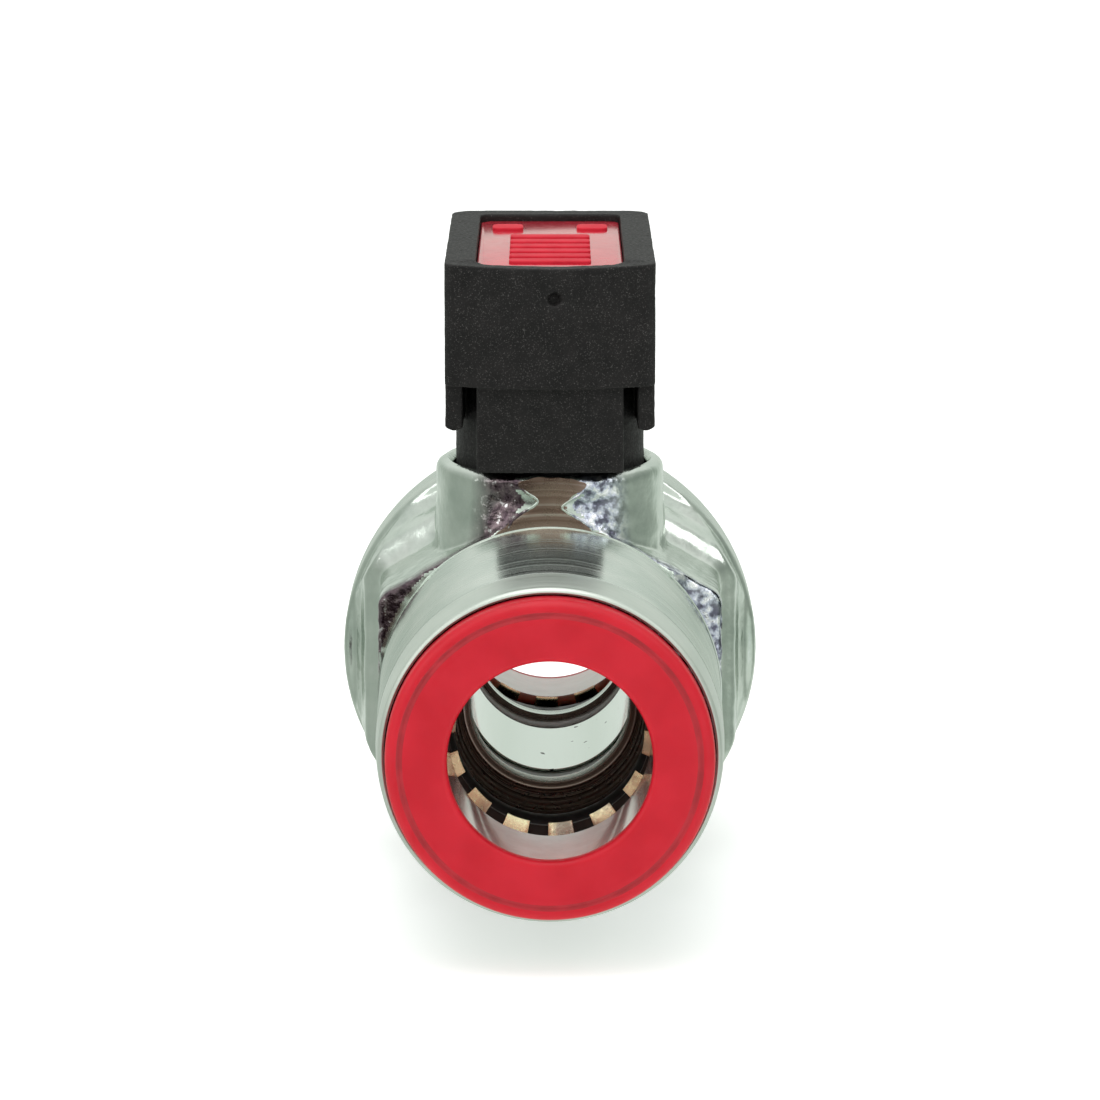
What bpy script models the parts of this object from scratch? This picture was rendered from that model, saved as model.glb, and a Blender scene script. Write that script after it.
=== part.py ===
"""Push-in inline ball valve for 12 mm tube: plated brass body, quarter-turn lever, release collets.

The origin is the centre of the ball, where the flow axis (Y) crosses the stem axis (Z).
The front socket faces -Y, and the lever stands over the body on +Z, in line with the bore when open.
All sizes below are millimetres; MM scales them to metres when a mesh is made.
"""
import math

import bpy
import bmesh
from mathutils import Matrix, Vector

MM = 0.001
WELD = 1e-5

# ---------------------------------------------------------------- driving dimensions (mm)
TUBE_R = 6.0
GAP = 0.05
SEGMENTS = 48
SMALL_SEGMENTS = 32

# Ends, measured inwards from each collet's face
END_Y = 23.6
COLLET_PROTRUSION = 1.45
COLLET_FLANGE_R = 9.8
COLLET_HOLE_R = 6.1
COLLET_SLEEVE_R = 6.75
COLLET_BEAD_R = 7.15
MOUTH_R = 9.95
MOUTH_DEPTH = 2.95
GRIP_BORE_R = 9.1
GRIP_DEPTH = 6.5
SEAL_BORE_R = 8.4
SEAL_DEPTH = 11.4
GUIDE_R = 6.15
GUIDE_DEPTH = 13.0
STOP_R = 5.5
STOP_DEPTH = 14.4
LIP_R = 4.95
CLAW_TEETH = 14
CLAW_TIP_R = 5.85

# Body
HOUSING_R = 10.5
RIM_ROUND = 0.35
RIM_DEPTH = 4.8
HEX_INRADIUS = 10.75
HEX_CORNER_ROUND = 1.0
SHOULDER_Y = -6.8
SHOULDER_FILLET = 0.4
HEX_END_Y = 1.0
COLLAR_R = 13.5
COLLAR_FRONT_Y = 5.7
COLLAR_REAR_Y = 10.0
THREAD_R = 9.0
THREAD_START_Y = 5.0
SEAL_GROOVE_Y = 8.75
SEAL_GROOVE_R = 9.95

# Rear connector
CONNECTOR_HEX_INRADIUS = 11.0
CONNECTOR_HEX_END_Y = 14.6

# Ball, seats and flow channel
BALL_R = 7.8
CHANNEL_R = 5.2
CHAMBER_R = 7.95
SEAT_BACK_Y = 8.0
SEAT_FACE_Y = 4.8

# Stem tower and stem
TOWER_TOP_Z = 14.0
TOWER_RIM_R = 7.2
TOWER_RIM_ROUND = 0.65
TOWER_BASE_R = 7.5
CUP_R = 6.1
CUP_FLOOR_Z = 12.0
STEM_R = 2.85
STEM_FLANGE_R = 3.7
STEM_FLANGE_BOTTOM_Z = 8.1
STEM_FLANGE_TOP_Z = 9.05
STEM_TOP_Z = 18.6
DRIVE_HALF = 2.1
TANG_LENGTH = 5.6
TANG_WIDTH = 2.7
TANG_BOTTOM_Z = 5.95
ORING_HEIGHTS = {"lower": 10.25, "upper": 11.4}
ORING_GROOVE = 0.96

# Quarter-turn stop in the tower cup
STOP_LUG_CENTRE = 180.0
STOP_LUG_SPAN = 30.0
STOP_PLAY = 2.0
STOP_INNER_R = 4.2
STOP_TOP_Z = 13.0

# Lever
LEVER_HALF_WIDTH = 6.5
LEVER_FRONT_Y = -7.6
LEVER_TIP_Y = 17.0
LEVER_BOTTOM_Z = 19.8
LEVER_TOP_Z = 27.4
LEVER_TIP_RISE = 2.4
LEVER_CORNER_R = 1.5
HUB_R = 5.95
HUB_BOTTOM_Z = 12.2
HUB_FLOOR_Z = 18.7
RIB_HALF_WIDTH = 4.55
RIB_FRONT_Y = -7.1
RIB_BOTTOM_Z = 14.25
SKIRT_BOTTOM_Z = 16.8
SKIRT_THICKNESS = 1.1
SKIRT_FRONT_Y = -6.6
SKIRT_REAR_Y = 6.6
POCKET_HALF_WIDTH = 4.9
POCKET_START_Y = 7.4
POCKET_END_Y = 15.6
POCKET_TOP_Z = 25.0
RECESS_HALF_WIDTH = 4.6
RECESS_FRONT_Y = -6.4
RECESS_REAR_Y = 15.0
RECESS_FLOOR_Z = 26.2
SCREW_WELL_R = 3.2
BADGE_TOP_Z = 26.95
BADGE_CORNER_R = 0.8
BADGE_RELIEF = 0.2
BAR_COUNT = 6
BAR_PITCH = 2.15
BAR_WIDTH = 1.25
BAR_HALF_LENGTH = 2.55
BAR_START_Y = -4.6
PAD_X = 2.75
PAD_HALF = 1.0
PAD_Y = 11.2

# name: (colour, metallic, roughness)
FINISHES = {
    "plated_brass": ((0.62, 0.64, 0.60), 1.0, 0.22),
    "turned_brass": ((0.60, 0.44, 0.20), 1.0, 0.30),
    "red_acetal": ((0.68, 0.03, 0.05), 0.0, 0.40),
    "black_nylon": ((0.02, 0.019, 0.019), 0.0, 0.62),
    "filled_ptfe": ((0.06, 0.06, 0.065), 0.0, 0.35),
    "white_ptfe": ((0.82, 0.82, 0.78), 0.0, 0.45),
    "black_nitrile": ((0.012, 0.012, 0.012), 0.0, 0.55),
    "spring_steel": ((0.62, 0.55, 0.42), 1.0, 0.28),
    "zinc_steel": ((0.58, 0.58, 0.60), 1.0, 0.32),
    "amber_polymer": ((0.30, 0.12, 0.06), 0.0, 0.35),
}


# ---------------------------------------------------------------- scene and mesh helpers
def clear_scene():
    for obj in list(bpy.data.objects):
        bpy.data.objects.remove(obj, do_unlink=True)


def new_object(name, mesh):
    obj = bpy.data.objects.new(name, mesh)
    bpy.context.scene.collection.objects.link(obj)
    return obj


def material(name):
    if name in bpy.data.materials:
        return bpy.data.materials[name]
    colour, metallic, roughness = FINISHES[name]
    made = bpy.data.materials.new(name)
    made.use_nodes = True
    shader = made.node_tree.nodes["Principled BSDF"]
    shader.inputs["Base Color"].default_value = (*colour, 1.0)
    shader.inputs["Metallic"].default_value = metallic
    shader.inputs["Roughness"].default_value = roughness
    made.diffuse_color = (*colour, 1.0)
    return made


def bake(obj):
    """Replace the object's mesh by the result of its modifiers."""
    bpy.context.view_layer.update()
    evaluated = obj.evaluated_get(bpy.context.evaluated_depsgraph_get())
    mesh = bpy.data.meshes.new_from_object(evaluated)
    obj.modifiers.clear()
    obj.data = mesh


def combine(target, tool, operation):
    """Boolean the tool into the target and throw the tool away."""
    cut = target.modifiers.new(operation.lower(), "BOOLEAN")
    cut.operation = operation
    cut.solver = "EXACT"
    cut.object = tool
    bake(target)
    bpy.data.objects.remove(tool, do_unlink=True)


def set_axis(obj, axis):
    """Lay a shape that was turned about its own Z along the flow axis, if axis is Y."""
    if axis == "Y":
        obj.data.transform(Matrix.Rotation(-math.pi / 2, 4, "X"))


def turned(name, outer, inner=(), axis="Z", segments=SEGMENTS, twist=0.0):
    """Turn a section given as (radius, height) points, both lists running towards +axis.

    Without inner points the section closes on the axis and the piece is solid.
    """
    section = list(reversed(outer)) + list(inner)
    mesh = bpy.data.meshes.new(name)
    verts = [(r * MM, 0.0, h * MM) for r, h in section]
    edges = [(i, i + 1) for i in range(len(verts) - 1)]
    if inner:
        edges.append((len(verts) - 1, 0))
    mesh.from_pydata(verts, edges, [])
    obj = new_object(name, mesh)
    screw = obj.modifiers.new("turn", "SCREW")
    screw.axis = "Z"
    screw.angle = math.tau
    screw.steps = segments
    screw.render_steps = segments
    screw.use_merge_vertices = True
    screw.merge_threshold = WELD
    bake(obj)
    obj.data.transform(Matrix.Rotation(math.radians(twist), 4, "Z"))
    set_axis(obj, axis)
    return obj


def solid(points):
    """Close an outer profile on the axis at both of its ends."""
    return [(0.0, points[0][1]), *points, (0.0, points[-1][1])]


def rod(name, radius, start, end, axis="Z", segments=SEGMENTS):
    return turned(name, solid([(radius, start), (radius, end)]), axis=axis, segments=segments)


def arc(centre, radius, start_deg, end_deg, count):
    """Points of an arc in the (radius, height) plane of a turned section."""
    angles = [math.radians(start_deg + (end_deg - start_deg) * i / count) for i in range(count + 1)]
    return [(centre[0] + radius * math.cos(a), centre[1] + radius * math.sin(a)) for a in angles]


def box(name, low, high):
    low, high = Vector(low), Vector(high)
    mesh = bpy.data.meshes.new(name)
    shape = bmesh.new()
    bmesh.ops.create_cube(shape, size=1.0)
    bmesh.ops.scale(shape, vec=(high - low) * MM, verts=shape.verts)
    bmesh.ops.translate(shape, vec=(high + low) / 2 * MM, verts=shape.verts)
    shape.to_mesh(mesh)
    shape.free()
    return new_object(name, mesh)


def round_upright_edges(obj, radius, keep):
    """Round the edges along Z whose midpoint passes the keep test."""
    shape = bmesh.new()
    shape.from_mesh(obj.data)
    chosen = [
        edge for edge in shape.edges
        if abs(edge.verts[0].co.z - edge.verts[1].co.z) > WELD
        and (edge.verts[0].co.xy - edge.verts[1].co.xy).length < WELD
        and keep((edge.verts[0].co + edge.verts[1].co) / 2 / MM)
    ]
    bmesh.ops.bevel(shape, geom=chosen, offset=radius * MM, segments=4, affect="EDGES", profile=0.5)
    shape.to_mesh(obj.data)
    shape.free()


def oring(name, major, minor, centre, axis="Z"):
    """A seal ring with its centre at the given height along the axis."""
    section = arc((major, centre), minor, -90.0, 90.0, 5)
    inside = arc((major, centre), minor, 270.0, 90.0, 5)[1:-1]
    return turned(name, section, inside, axis=axis, segments=SMALL_SEGMENTS)


def finish(obj, collection, slot):
    """Give the piece its material, shading and collection."""
    shape = bmesh.new()
    shape.from_mesh(obj.data)
    bmesh.ops.dissolve_degenerate(shape, dist=WELD / 10, edges=shape.edges)
    bmesh.ops.recalc_face_normals(shape, faces=shape.faces)
    shape.to_mesh(obj.data)
    shape.free()
    obj.data.materials.clear()
    obj.data.materials.append(material(slot))
    obj.data.shade_smooth()
    obj.data.set_sharp_from_angle(angle=math.radians(32))
    bpy.context.scene.collection.objects.unlink(obj)
    collection.objects.link(obj)
    return obj


# ---------------------------------------------------------------- shared sections
def along(side, points):
    """Place (radius, depth behind the collet face) points at one end, running towards +Y."""
    placed = [(r, side * (END_Y - depth)) for r, depth in points]
    return placed if side < 0 else list(reversed(placed))


def socket_steps():
    """The stepped push-in socket, from outside the mouth down to the flow channel."""
    return [
        (MOUTH_R, COLLET_PROTRUSION - 1.0), (MOUTH_R, MOUTH_DEPTH),
        (GRIP_BORE_R, MOUTH_DEPTH), (GRIP_BORE_R, GRIP_DEPTH),
        (SEAL_BORE_R, GRIP_DEPTH), (SEAL_BORE_R, SEAL_DEPTH),
        (GUIDE_R, SEAL_DEPTH), (GUIDE_R, GUIDE_DEPTH),
        (STOP_R, STOP_DEPTH), (LIP_R, STOP_DEPTH),
    ]


def housing_rim(side):
    """The rounded outer rim of a socket housing, from its mouth inwards."""
    face = COLLET_PROTRUSION
    rim_r = HOUSING_R - 0.12
    rounded = arc((rim_r - RIM_ROUND, face + RIM_ROUND), RIM_ROUND, -90.0, 0.0, 3)
    return along(side, [(MOUTH_R - 1.0, face), *rounded, (HOUSING_R, RIM_DEPTH)])


def hex_prism(name, inradius, profile, corner_round):
    """A six-sided bar about the flow axis with flats facing +X and -X and rounded corners."""
    corner = inradius / math.cos(math.pi / 6)
    outer = [(corner + flare, y) for flare, y in profile]
    bar = turned(name, solid(outer), axis="Y", segments=6, twist=30.0)
    shape = bmesh.new()
    shape.from_mesh(bar.data)
    bmesh.ops.remove_doubles(shape, verts=shape.verts, dist=WELD)
    ridges = [
        edge for edge in shape.edges
        if abs(edge.verts[0].co.y - edge.verts[1].co.y) > WELD
        and min(edge.verts[0].co.xz.length, edge.verts[1].co.xz.length) > inradius * MM / 2
    ]
    bmesh.ops.bevel(shape, geom=ridges, offset=corner_round * MM, segments=3, affect="EDGES", profile=0.5)
    shape.to_mesh(bar.data)
    shape.free()
    return bar


# ---------------------------------------------------------------- body and rear connector
def stem_tower():
    """The round boss under the lever, with a rounded rim and the flat left by the shoulder tool."""
    rounded = arc((TOWER_RIM_R - TOWER_RIM_ROUND, TOWER_TOP_Z - TOWER_RIM_ROUND), TOWER_RIM_ROUND, 0.0, 90.0, 4)
    outer = [(TOWER_BASE_R, HEX_INRADIUS / 2), (TOWER_BASE_R, 8.6), (TOWER_RIM_R + 0.1, 9.6), *rounded]
    tower = turned("tower", solid(outer))
    trim = box("trim", (-12, -12, 0), (12, SHOULDER_Y, 20))
    combine(tower, trim, "DIFFERENCE")
    return tower


def stop_sector(name, start, end, inner_r, outer_r, low, high):
    """A sector of a ring about the stem axis, between two angles in degrees."""
    count = max(4, round((end - start) / 7.5))
    angles = [math.radians(start + (end - start) * i / count) for i in range(count + 1)]
    rim = [(outer_r, a) for a in angles] + [(inner_r, a) for a in reversed(angles)]
    mesh = bpy.data.meshes.new(name)
    shape = bmesh.new()
    floor = [shape.verts.new((r * MM * math.cos(a), r * MM * math.sin(a), low * MM)) for r, a in rim]
    face = shape.faces.new(floor)
    raised = bmesh.ops.extrude_face_region(shape, geom=[face])
    top = [item for item in raised["geom"] if isinstance(item, bmesh.types.BMVert)]
    bmesh.ops.translate(shape, vec=(0, 0, (high - low) * MM), verts=top)
    bmesh.ops.recalc_face_normals(shape, faces=shape.faces)
    shape.to_mesh(mesh)
    shape.free()
    return new_object(name, mesh)


def make_valve_body():
    """One forging: front socket housing, hexagon, stem tower and the threaded rear collar."""
    flare = [(0.0, SHOULDER_Y), (0.0, HEX_END_Y), (0.2, 1.7), (0.7, 2.3), (1.4, 2.9), (1.7, 4.4), (2.2, COLLAR_FRONT_Y + 0.4)]
    hexagon = hex_prism("hexagon", HEX_INRADIUS, flare, HEX_CORNER_ROUND)
    limit = turned("limit", solid([(COLLAR_R - 0.35, SHOULDER_Y - 1.0), (COLLAR_R - 0.35, COLLAR_REAR_Y)]),
                   axis="Y", twist=2.0)
    combine(hexagon, limit, "INTERSECT")
    fillet = arc((HOUSING_R + SHOULDER_FILLET, SHOULDER_Y + 0.1 - SHOULDER_FILLET), SHOULDER_FILLET, 180.0, 100.0, 3)
    outer = [
        (0.0, COLLET_PROTRUSION - END_Y), *housing_rim(-1),
        *fillet, (HOUSING_R - 0.3, SHOULDER_Y + 0.6), (HOUSING_R - 0.3, COLLAR_FRONT_Y),
        (COLLAR_R - 0.5, COLLAR_FRONT_Y), (COLLAR_R, COLLAR_FRONT_Y + 0.5),
        (COLLAR_R, COLLAR_REAR_Y - 0.4), (COLLAR_R - 0.4, COLLAR_REAR_Y), (0.0, COLLAR_REAR_Y),
    ]
    body = turned("valve_body", outer, axis="Y")
    combine(body, hexagon, "UNION")
    combine(body, stem_tower(), "UNION")
    bore = solid(along(-1, socket_steps()) + [
        (LIP_R, -SEAT_BACK_Y), (CHAMBER_R, -SEAT_BACK_Y), (CHAMBER_R, THREAD_START_Y),
        (THREAD_R, THREAD_START_Y), (THREAD_R, SEAL_GROOVE_Y),
        (SEAL_GROOVE_R, SEAL_GROOVE_Y), (SEAL_GROOVE_R, COLLAR_REAR_Y + 1.0),
    ])
    combine(body, turned("flow_bore", bore, axis="Y"), "DIFFERENCE")
    stem_bore = solid([
        (STEM_FLANGE_R + 0.15, 6.5), (STEM_FLANGE_R + 0.15, 9.65),
        (STEM_R + 0.1, 9.65), (STEM_R + 0.1, CUP_FLOOR_Z),
        (CUP_R, CUP_FLOOR_Z), (CUP_R, TOWER_TOP_Z - 0.35), (CUP_R + 0.7, TOWER_TOP_Z + 0.35),
        (CUP_R + 0.7, TOWER_TOP_Z + 1.0),
    ])
    combine(body, turned("stem_bore", stem_bore), "DIFFERENCE")
    half = STOP_LUG_SPAN / 2
    lug = stop_sector("stop_lug", STOP_LUG_CENTRE - half, STOP_LUG_CENTRE + half,
                      STOP_INNER_R, CUP_R + 0.3, CUP_FLOOR_Z - 0.3, STOP_TOP_Z)
    combine(body, lug, "UNION")
    return body


def make_rear_connector():
    """The screwed end: thread in the collar, wrench hexagon and the rear socket housing."""
    rim = housing_rim(1)
    outer = [
        (0.0, THREAD_START_Y + 0.15), (THREAD_R - 0.4, THREAD_START_Y + 0.15), (THREAD_R - 0.1, THREAD_START_Y + 0.45),
        (THREAD_R - 0.1, SEAL_GROOVE_Y), (8.55, SEAL_GROOVE_Y), (8.55, COLLAR_REAR_Y + 0.1),
        (HOUSING_R, COLLAR_REAR_Y + 0.1), *rim, (0.0, END_Y - COLLET_PROTRUSION),
    ]
    connector = turned("rear_connector", outer, axis="Y")
    bar = [(-0.5, COLLAR_REAR_Y + 0.15), (0.0, COLLAR_REAR_Y + 0.6),
           (0.0, CONNECTOR_HEX_END_Y - 0.5), (-0.5, CONNECTOR_HEX_END_Y)]
    combine(connector, hex_prism("wrench_hexagon", CONNECTOR_HEX_INRADIUS, bar, 0.5), "UNION")
    bore = solid([
        (CHAMBER_R - 0.05, THREAD_START_Y - 1.0), (CHAMBER_R - 0.05, SEAT_BACK_Y), (LIP_R, SEAT_BACK_Y),
        *along(1, socket_steps()),
    ])
    combine(connector, turned("connector_bore", bore, axis="Y"), "DIFFERENCE")
    return connector


# ---------------------------------------------------------------- ball, seats and stem
def make_ball():
    """A ball with the flow channel along Y and the stem slot across its top, along X."""
    mesh = bpy.data.meshes.new("ball")
    shape = bmesh.new()
    bmesh.ops.create_uvsphere(shape, u_segments=40, v_segments=20, radius=BALL_R * MM)
    shape.to_mesh(mesh)
    shape.free()
    ball = new_object("ball", mesh)
    combine(ball, rod("channel", CHANNEL_R, -10.0, 10.0, axis="Y"), "DIFFERENCE")
    half = TANG_WIDTH / 2 + 0.12
    combine(ball, box("slot", (-10, -half, TANG_BOTTOM_Z - 0.1), (10, half, 10)), "DIFFERENCE")
    return ball


def make_seat(name, side):
    """A ring seat whose cone clears the ball by a hair."""
    reach = BALL_R + 0.09
    lean = math.radians(42.5)
    cone_r = (reach - SEAT_FACE_Y * math.sin(lean)) / math.cos(lean)
    bore_y = (reach - (CHANNEL_R + 0.1) * math.cos(lean)) / math.sin(lean)
    outer = [(CHAMBER_R - 0.2, SEAT_FACE_Y), (CHAMBER_R - 0.2, SEAT_BACK_Y - GAP)]
    inner = [(cone_r, SEAT_FACE_Y), (CHANNEL_R + 0.1, bore_y), (CHANNEL_R + 0.1, SEAT_BACK_Y - GAP)]
    if side < 0:
        outer = [(r, -y) for r, y in reversed(outer)]
        inner = [(r, -y) for r, y in reversed(inner)]
    return turned(name, outer, inner, axis="Y")


def make_stem():
    """Blow-out proof stem: tang, flange, two ring grooves, square drive and a threaded end."""
    outer = [(STEM_FLANGE_R - 0.2, STEM_FLANGE_BOTTOM_Z), (STEM_FLANGE_R, STEM_FLANGE_BOTTOM_Z + 0.2),
             (STEM_FLANGE_R, STEM_FLANGE_TOP_Z), (STEM_R, STEM_FLANGE_TOP_Z)]
    for height in ORING_HEIGHTS.values():
        low, high = height - ORING_GROOVE / 2, height + ORING_GROOVE / 2
        outer += [(STEM_R, low), (2.0, low), (2.0, high), (STEM_R, high)]
    outer += [(STEM_R, STEM_TOP_Z - 0.25), (STEM_R - 0.25, STEM_TOP_Z)]
    stem = turned("stem", solid(outer), segments=SMALL_SEGMENTS)
    for turn in range(4):
        flat = box("flat", (DRIVE_HALF, -4, CUP_FLOOR_Z + 0.1), (5, 4, STEM_TOP_Z + 1))
        flat.data.transform(Matrix.Rotation(turn * math.pi / 2, 4, "Z"))
        combine(stem, flat, "DIFFERENCE")
    tang = box("tang", (-TANG_LENGTH / 2, -TANG_WIDTH / 2, TANG_BOTTOM_Z), (TANG_LENGTH / 2, TANG_WIDTH / 2, STEM_FLANGE_TOP_Z - 0.4))
    combine(stem, tang, "UNION")
    combine(stem, rod("tapped_hole", 1.35, 13.4, STEM_TOP_Z + 1, segments=16), "DIFFERENCE")
    return stem


def make_stem_washer():
    return turned("stem_washer", [(STEM_FLANGE_R, 9.1), (STEM_FLANGE_R, 9.6)],
                  [(STEM_R + 0.08, 9.1), (STEM_R + 0.08, 9.6)], segments=SMALL_SEGMENTS)


# ---------------------------------------------------------------- lever group
def lever_cap():
    """The finger block of the lever, its underside rising towards the tip."""
    cap = box("lever", (-LEVER_HALF_WIDTH, LEVER_FRONT_Y, LEVER_BOTTOM_Z), (LEVER_HALF_WIDTH, LEVER_TIP_Y, LEVER_TOP_Z))
    round_upright_edges(cap, LEVER_CORNER_R, keep=lambda middle: middle.y > 0)
    round_upright_edges(cap, 0.5, keep=lambda middle: middle.y < LEVER_FRONT_Y + 0.1)
    wedge = box("wedge", (-10, 0, -5), (10, 20, 0))
    slope = math.atan2(LEVER_TIP_RISE, LEVER_TIP_Y - SKIRT_REAR_Y)
    wedge.data.transform(Matrix.Translation(Vector((0, SKIRT_REAR_Y, LEVER_BOTTOM_Z)) * MM)
                         @ Matrix.Rotation(slope, 4, "X"))
    combine(cap, wedge, "DIFFERENCE")
    return cap


def make_lever():
    """Moulded lever: cap, hub with square drive, front rib, side skirts and badge recess."""
    lever = lever_cap()
    combine(lever, rod("hub", HUB_R, HUB_BOTTOM_Z, LEVER_BOTTOM_Z + 1.0), "UNION")
    rib = box("rib", (-RIB_HALF_WIDTH, RIB_FRONT_Y, RIB_BOTTOM_Z), (RIB_HALF_WIDTH, 0, LEVER_BOTTOM_Z + 0.5))
    combine(lever, rib, "UNION")
    for side in (-1, 1):
        inside = side * (LEVER_HALF_WIDTH - SKIRT_THICKNESS)
        outside = side * (LEVER_HALF_WIDTH - 0.02)
        skirt = box("skirt", (min(inside, outside), SKIRT_FRONT_Y, SKIRT_BOTTOM_Z),
                    (max(inside, outside), SKIRT_REAR_Y - 0.1, LEVER_BOTTOM_Z + 0.5))
        combine(lever, skirt, "UNION")
    pocket = box("pocket", (-POCKET_HALF_WIDTH, POCKET_START_Y, LEVER_BOTTOM_Z - 2),
                 (POCKET_HALF_WIDTH, POCKET_END_Y, POCKET_TOP_Z))
    combine(lever, pocket, "DIFFERENCE")
    recess = box("recess", (-RECESS_HALF_WIDTH, RECESS_FRONT_Y, RECESS_FLOOR_Z),
                 (RECESS_HALF_WIDTH, RECESS_REAR_Y, LEVER_TOP_Z + 1))
    round_upright_edges(recess, BADGE_CORNER_R, keep=lambda middle: True)
    combine(lever, recess, "DIFFERENCE")
    combine(lever, rod("screw_well", SCREW_WELL_R, HUB_FLOOR_Z, RECESS_FLOOR_Z + 0.5, segments=SMALL_SEGMENTS),
            "DIFFERENCE")
    drive = box("drive", (-DRIVE_HALF - 0.08, -DRIVE_HALF - 0.08, HUB_BOTTOM_Z - 1),
                (DRIVE_HALF + 0.08, DRIVE_HALF + 0.08, HUB_FLOOR_Z + 0.5))
    combine(drive, rod("drive_round", STEM_R + 0.1, HUB_BOTTOM_Z - 2, HUB_FLOOR_Z + 1, segments=SMALL_SEGMENTS),
            "INTERSECT")
    combine(lever, drive, "DIFFERENCE")
    half = STOP_LUG_SPAN / 2 + STOP_PLAY
    notch = stop_sector("stop_notch", STOP_LUG_CENTRE - half, STOP_LUG_CENTRE + half + 90.0,
                        STOP_INNER_R - 0.15, HUB_R + 0.5, HUB_BOTTOM_Z - 1, STOP_TOP_Z + 0.15)
    combine(lever, notch, "DIFFERENCE")
    return lever


def make_lever_screw():
    """Cheese-head screw with a cross slot, run down through the hub into the stem."""
    outer = [(0.9, 14.2), (1.2, 14.5), (1.2, 19.35), (2.6, 19.35), (2.6, 20.6), (2.3, 20.9)]
    screw = turned("lever_screw", solid(outer), segments=24)
    for half_x, half_y in ((1.7, 0.3), (0.3, 1.7)):
        combine(screw, box("slot", (-half_x, -half_y, 20.1), (half_x, half_y, 22)), "DIFFERENCE")
    return screw


def make_lever_washer():
    return turned("lever_washer", [(2.75, 18.75), (2.75, 19.3)], [(1.4, 18.75), (1.4, 19.3)], segments=24)


def make_badge():
    """Plain inlay plate with raised cross bars and two pads, for decoration only."""
    low = (GAP - RECESS_HALF_WIDTH, RECESS_FRONT_Y + GAP, RECESS_FLOOR_Z + GAP)
    high = (RECESS_HALF_WIDTH - GAP, RECESS_REAR_Y - GAP, BADGE_TOP_Z)
    badge = box("badge_insert", low, high)
    round_upright_edges(badge, BADGE_CORNER_R, keep=lambda middle: True)
    starts = [BAR_START_Y + BAR_PITCH * count for count in range(BAR_COUNT)]
    raised = [(-BAR_HALF_LENGTH, BAR_HALF_LENGTH, start, start + BAR_WIDTH) for start in starts]
    raised += [(x - PAD_HALF, x + PAD_HALF, PAD_Y - PAD_HALF, PAD_Y + PAD_HALF) for x in (-PAD_X, PAD_X)]
    for left, right, near, far in raised:
        block = box("raised", (left, near, BADGE_TOP_Z - BADGE_RELIEF), (right, far, BADGE_TOP_Z + BADGE_RELIEF))
        combine(badge, block, "UNION")
    return badge


# ---------------------------------------------------------------- push-in ends
def make_collet(name, side):
    """Release collet: flanged ring outside, sleeve with a retaining bead inside."""
    rim = 0.55
    rounded = arc((COLLET_FLANGE_R - rim, rim), rim, -90.0, 0.0, 3)
    outer = along(side, [*rounded, (COLLET_FLANGE_R, 1.7), (COLLET_SLEEVE_R, 1.7), (COLLET_SLEEVE_R, 4.4),
                         (COLLET_BEAD_R, 4.4), (COLLET_BEAD_R, 4.9), (6.3, 6.0)])
    inner = along(side, [(COLLET_HOLE_R + 0.35, 0.0), (COLLET_HOLE_R, 0.45), (COLLET_HOLE_R, 6.0)])
    return turned(name, outer, inner, axis="Y")


def make_retaining_sleeve(name, side):
    """Press-fit ring that keeps the collet's bead and backs the claw ring."""
    outer = along(side, [(GRIP_BORE_R - GAP, MOUTH_DEPTH + GAP), (GRIP_BORE_R - GAP, 6.05)])
    inner = along(side, [(COLLET_SLEEVE_R + 0.17, MOUTH_DEPTH + GAP), (COLLET_SLEEVE_R + 0.17, 4.2),
                         (COLLET_BEAD_R + 0.25, 4.2), (COLLET_BEAD_R + 0.25, 6.05)])
    return turned(name, outer, inner, axis="Y")


def make_claw_ring(name, side):
    """Stamped ring whose bent teeth let the tube in and bite when it is pulled back."""
    steps = CLAW_TEETH * 4
    outer = along(side, [(GRIP_BORE_R - GAP, 6.1), (GRIP_BORE_R - GAP, 6.45), (7.55, 6.45), (CLAW_TIP_R + 0.1, 8.05)])
    inner = along(side, [(7.4, 6.1), (CLAW_TIP_R - 0.08, 7.7)])
    claws = turned(name, outer, inner, axis="Y", segments=steps)
    near, far = sorted((side * (END_Y - 9.5), side * (END_Y - 6.6)))
    for tooth in range(CLAW_TEETH):
        gap = box("gap", (-0.58, near, -7.3), (0.58, far, -4.5))
        gap.data.transform(Matrix.Rotation(math.tau * (tooth + 0.5) / CLAW_TEETH, 4, "Y"))
        combine(claws, gap, "DIFFERENCE")
    return claws


def make_support_ring(name, side):
    """Spacer between claw ring and seal, hollowed in a cone behind the teeth."""
    outer = along(side, [(SEAL_BORE_R - 0.1, 6.6), (SEAL_BORE_R - 0.1, 8.95)])
    inner = along(side, [(7.75, 6.6), (7.75, 7.2), (GUIDE_R + 0.05, 8.6), (GUIDE_R + 0.05, 8.95)])
    return turned(name, outer, inner, axis="Y")


def make_tube_seal(name, side):
    return oring(name, (TUBE_R - 0.12 + SEAL_BORE_R - 0.2) / 2, 1.12, side * (END_Y - 10.17), axis="Y")


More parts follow.
